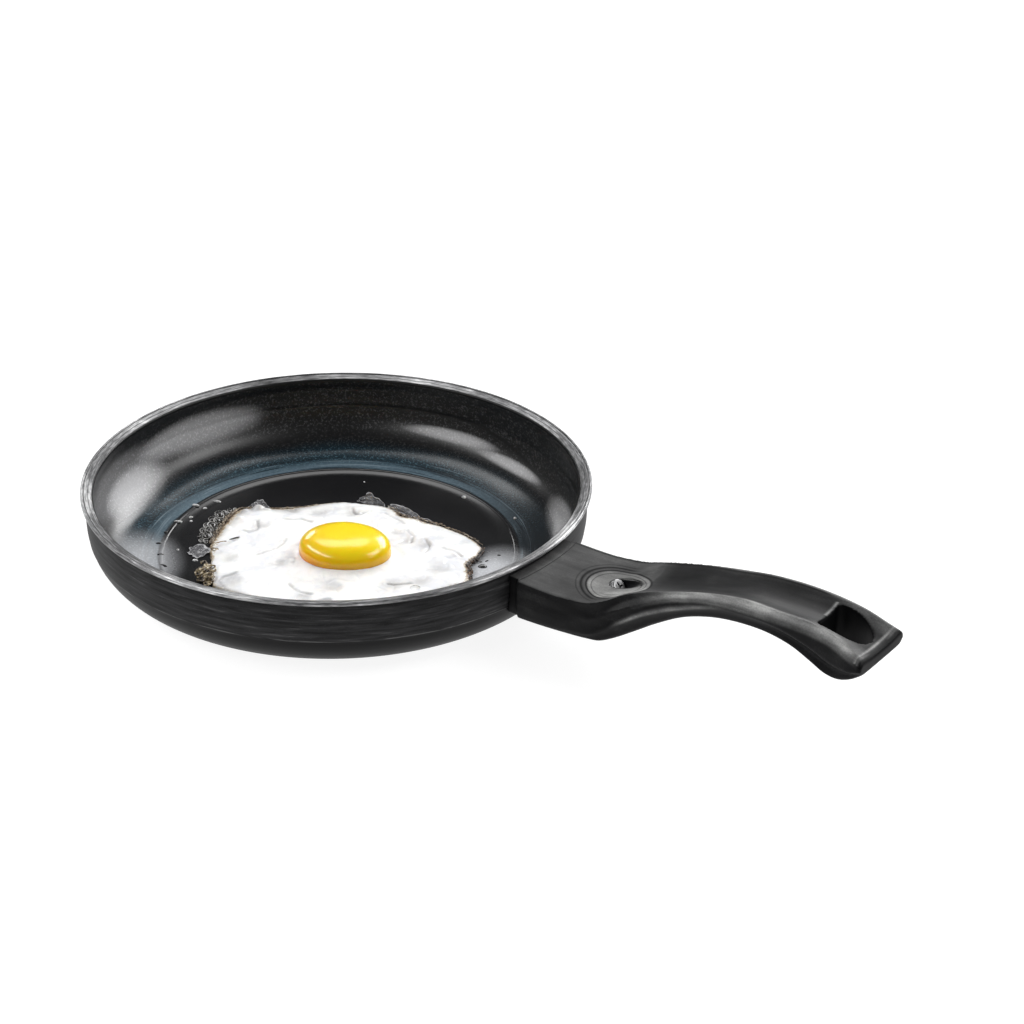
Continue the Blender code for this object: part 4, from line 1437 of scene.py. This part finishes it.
def build_froth():
    """A chain of bubbles along the left edge, each with a pale ring leaning over it: a highlight round
    its outline, painted as a tube.
    """
    items = [(x, y, DOME_FOOT, size, size * 0.92, size * 1.1, 30) for x, y, size in FROTH]
    toss = random.Random(4)
    for _ in range(16):
        x, y, size = toss.choice(FROTH)
        turn = toss.uniform(0, 2 * math.pi)
        x, y = x + 1.35 * size * math.cos(turn), y + 1.35 * size * math.sin(turn)
        small = toss.uniform(0.3, 0.7)
        items.append((x, y, DOME_FOOT, small, small, small * 0.8, 0))
    bubble = ("froth_bubbles", 1400.0, 3.0, (16, 15, 14), (58, 54, 50), 0.12, 0.1, 0.04, 0.3)
    finish = speckled_finish(*bubble, coat_weight=1.0, coat_roughness=0.04)
    dress(domes("froth_bubbles", items), "egg_white", finish)
    rings = []
    for x, y, size in FROTH + (LONE_RING,):
        flat = (x, y, size) == LONE_RING
        height = LONE_RING_HEIGHT if flat else DOME_FOOT + 0.25 * size
        rise = 0.0 if flat else size * (0.45 + 0.10 * math.sin(3.1 * y))
        away = math.radians(130 + 25 * math.sin(2.3 * x))
        line = []
        for index in range(25):
            turn = 2 * math.pi * index / 24
            wide = size * (0.98 + 0.09 * math.sin(2 * turn + x) + 0.05 * math.sin(3 * turn + y))
            lift = rise * (1 + math.cos(turn - away))
            point = Vector((x + wide * math.cos(turn), y + wide * math.sin(turn), height + lift))
            line.append((point * MM, (0.11 + 0.08 * math.sin(turn + y)) * MM))
        rings.append(line)
    froth = strands("froth_ring_highlights", rings, 2)
    stops = ((0.34, 84, 80, 76), (0.48, 168, 166, 162), (0.62, 240, 240, 238))
    dress(froth, "egg_white", crisp_finish("ring_highlight", *stops, scale=500.0, roughness=0.25))


# Pale drops on the floor, their highlights painted into their colour, as domes() takes them.
PALE_DROPS = (
    (-84.1, -9.0, 3.9, 2.0, 0.8, 0.6, 20), (-79.1, -7.9, 3.2, 1.1, 0.7, 0.6, 40),
    (-79.5, 1.3, 3.2, 2.2, 0.8, 0.7, 15), (-78.1, -19.1, 3.2, 1.0, 0.8, 0.7, 60),
    (-46.8, -50.3, 3.2, 1.4, 0.7, 0.7, 30), (-80.0, -26.2, 3.2, 2.2, 0.7, 0.7, 30),
    (-75.4, -22.0, 3.2, 0.8, 0.6, 0.5, 30), (15.1, 79.0, 3.2, 1.3, 1.0, 0.9, 10),
    (49.1, 75.4, 3.9, 0.8, 0.7, 0.6, 10), (-60.5, -47.5, 3.2, 0.8, 0.6, 0.5, 0),
    (30.2, -72.0, 3.2, 1.1, 0.9, 0.7, 10), (-20.5, -73.5, 3.2, 0.9, 0.7, 0.6, 80),
    (-35.0, 62.0, 3.2, 0.5, 0.4, 0.4, 20),
)
OIL_DROPS = (
    (65.1, 27.3, 3.2, 2.2, 1.6, 1.0, 35), (64.6, 41.1, 3.2, 0.9, 0.6, 0.4, 35),
    (63.4, 33.0, 3.2, 1.1, 0.4, 0.5, 80), (61.8, 30.4, 3.2, 0.8, 0.4, 0.5, 70),
    (76.5, -26.0, 3.2, 1.2, 0.9, 0.8, 20),
)


def build_drops():
    """Pale drops on the floor and up to the crease with their highlights painted in, drops of oil, and
    one dark fleck.
    """
    speck = ("egg_spatter", 900.0, 3.0, (150, 150, 150), (244, 244, 244), 0.2, 0.15, 0.05, 0.4)
    finish = speckled_finish(*speck, contrast=(0.35, 0.6), coat_weight=0.6, coat_roughness=0.12)
    dress(domes("egg_spatter", PALE_DROPS), "egg_white", finish)
    items = list(OIL_DROPS)
    toss = random.Random(8)
    for step in range(8):
        turn = math.radians(-161 + 7.5 * step)
        reach = 84.6 + toss.uniform(-1.5, 2.2)
        x, y = reach * math.cos(turn), reach * math.sin(turn)
        items.append((x, y, DOME_FOOT, toss.uniform(1.3, 2.1), 0.6, 0.7, toss.uniform(10, 60)))
    oil = ("oil_drops", 500.0, 2.0, (24, 24, 26), (66, 66, 66), 0.08, 0.08, 0.05, 0.3)
    finish = speckled_finish(*oil, coat_weight=1.0, coat_roughness=0.02)
    dress(domes("oil_drops", items), "egg_yolk", finish)
    fleck = domes("dark_fleck", [(-41.8, -27.8, 7.2, 2.9, 0.55, 0.35, 69)])
    stops = ((0.3, 16, 15, 14), (0.6, 46, 42, 38))
    dress(fleck, "egg_white", crisp_finish("fleck_burnt", *stops))


# ---------- Floor, light and camera ----------


# Name, direction and height in degrees, distance, width and height in metres, brightness of
# the face, and the place in mm that the lamp looks at.
LAMPS = (
    ("key", 136, 53, 1.6, 1.0, 0.7, 3.2, (0, 0, 20)),
    ("side", 28, 40, 1.4, 0.80, 0.50, 6.5, (-60, 20, 20)),
    ("wall_left", 80, 27, 1.0, 0.70, 0.36, 9.0, (-107, -28, 14)),
    ("wall_right", -130, 37, 1.0, 1.30, 0.12, 13.0, (10, 105, 14)),
    ("rim_right", 157, 17, 1.2, 0.30, 0.16, 8.0, (75, 72, 10)),
    ("yolk_right", 4, 24, 0.8, 0.08, 0.08, 12.0, (27, -14, 14)),
)


def lamp(name, azimuth, elevation, distance, wide, tall, radiance, target):
    """A soft box, made from a row of the lamps."""
    data = bpy.data.lights.new(name, "AREA")
    data.shape = "RECTANGLE"
    data.size, data.size_y = wide, tall
    data.energy = radiance * math.pi * wide * tall
    light = bpy.data.objects.new(name, data)
    bpy.context.scene.collection.objects.link(light)
    flat, high = polar(1, elevation)
    away = Vector((*polar(flat, azimuth), high))
    light.location = Vector(target) * MM + away * distance
    light.rotation_euler = away.to_track_quat("Z", "Y").to_euler()
    light.visible_camera = False


def build_stage():
    floor = started("floor", "plane", size=60)
    edit(floor, action="SELECT")
    bpy.ops.mesh.subdivide(number_cuts=7)
    leave_edit()
    finish = Finish("floor_pale", roughness=0.9, specular_ior_level=0.0)
    shade = finish.noise(3.0, 2.0)
    dark, pale = [0.24, 0.24, 0.24, 1], [0.27, 0.27, 0.27, 1]  # linear already
    finish.feed(base_color=mixed(shade, dark, pale))
    finish.shader.inputs["Emission Color"].default_value = (1, 1, 1, 1)
    finish.shader.inputs["Emission Strength"].default_value = 0.90
    floor.data.materials.append(finish.material)

    world = bpy.data.worlds.new("studio")
    bpy.context.scene.world = world
    world.use_nodes = True
    sky = world.node_tree.nodes["Background"]
    sky.inputs["Color"].default_value = (0.96, 0.98, 1.0, 1)
    sky.inputs["Strength"].default_value = 0.10

    for row in LAMPS:
        lamp(*row)


CAMERA_PLACE = (0.6816, -0.8042, 0.5736)
CAMERA_TURN = (1.0891, -0.0114, 0.6308)
CAMERA_REACH = 2500 / 1024  # the lens's length, in widths of what it sees


def build_camera():
    data = bpy.data.cameras.new("camera")
    data.sensor_width = 36
    data.lens = CAMERA_REACH * data.sensor_width
    data.clip_start = 0.01
    camera = bpy.data.objects.new("camera", data)
    bpy.context.scene.collection.objects.link(camera)
    camera.location = CAMERA_PLACE
    camera.rotation_euler = CAMERA_TURN
    bpy.context.scene.camera = camera
    bpy.context.scene.view_settings.view_transform = "Standard"


build_camera()
build_stage()
build_pan()
build_handle()
build_screw()
build_white()
build_yolk()
build_lace()
build_crust()
build_skins()
build_froth()
build_drops()
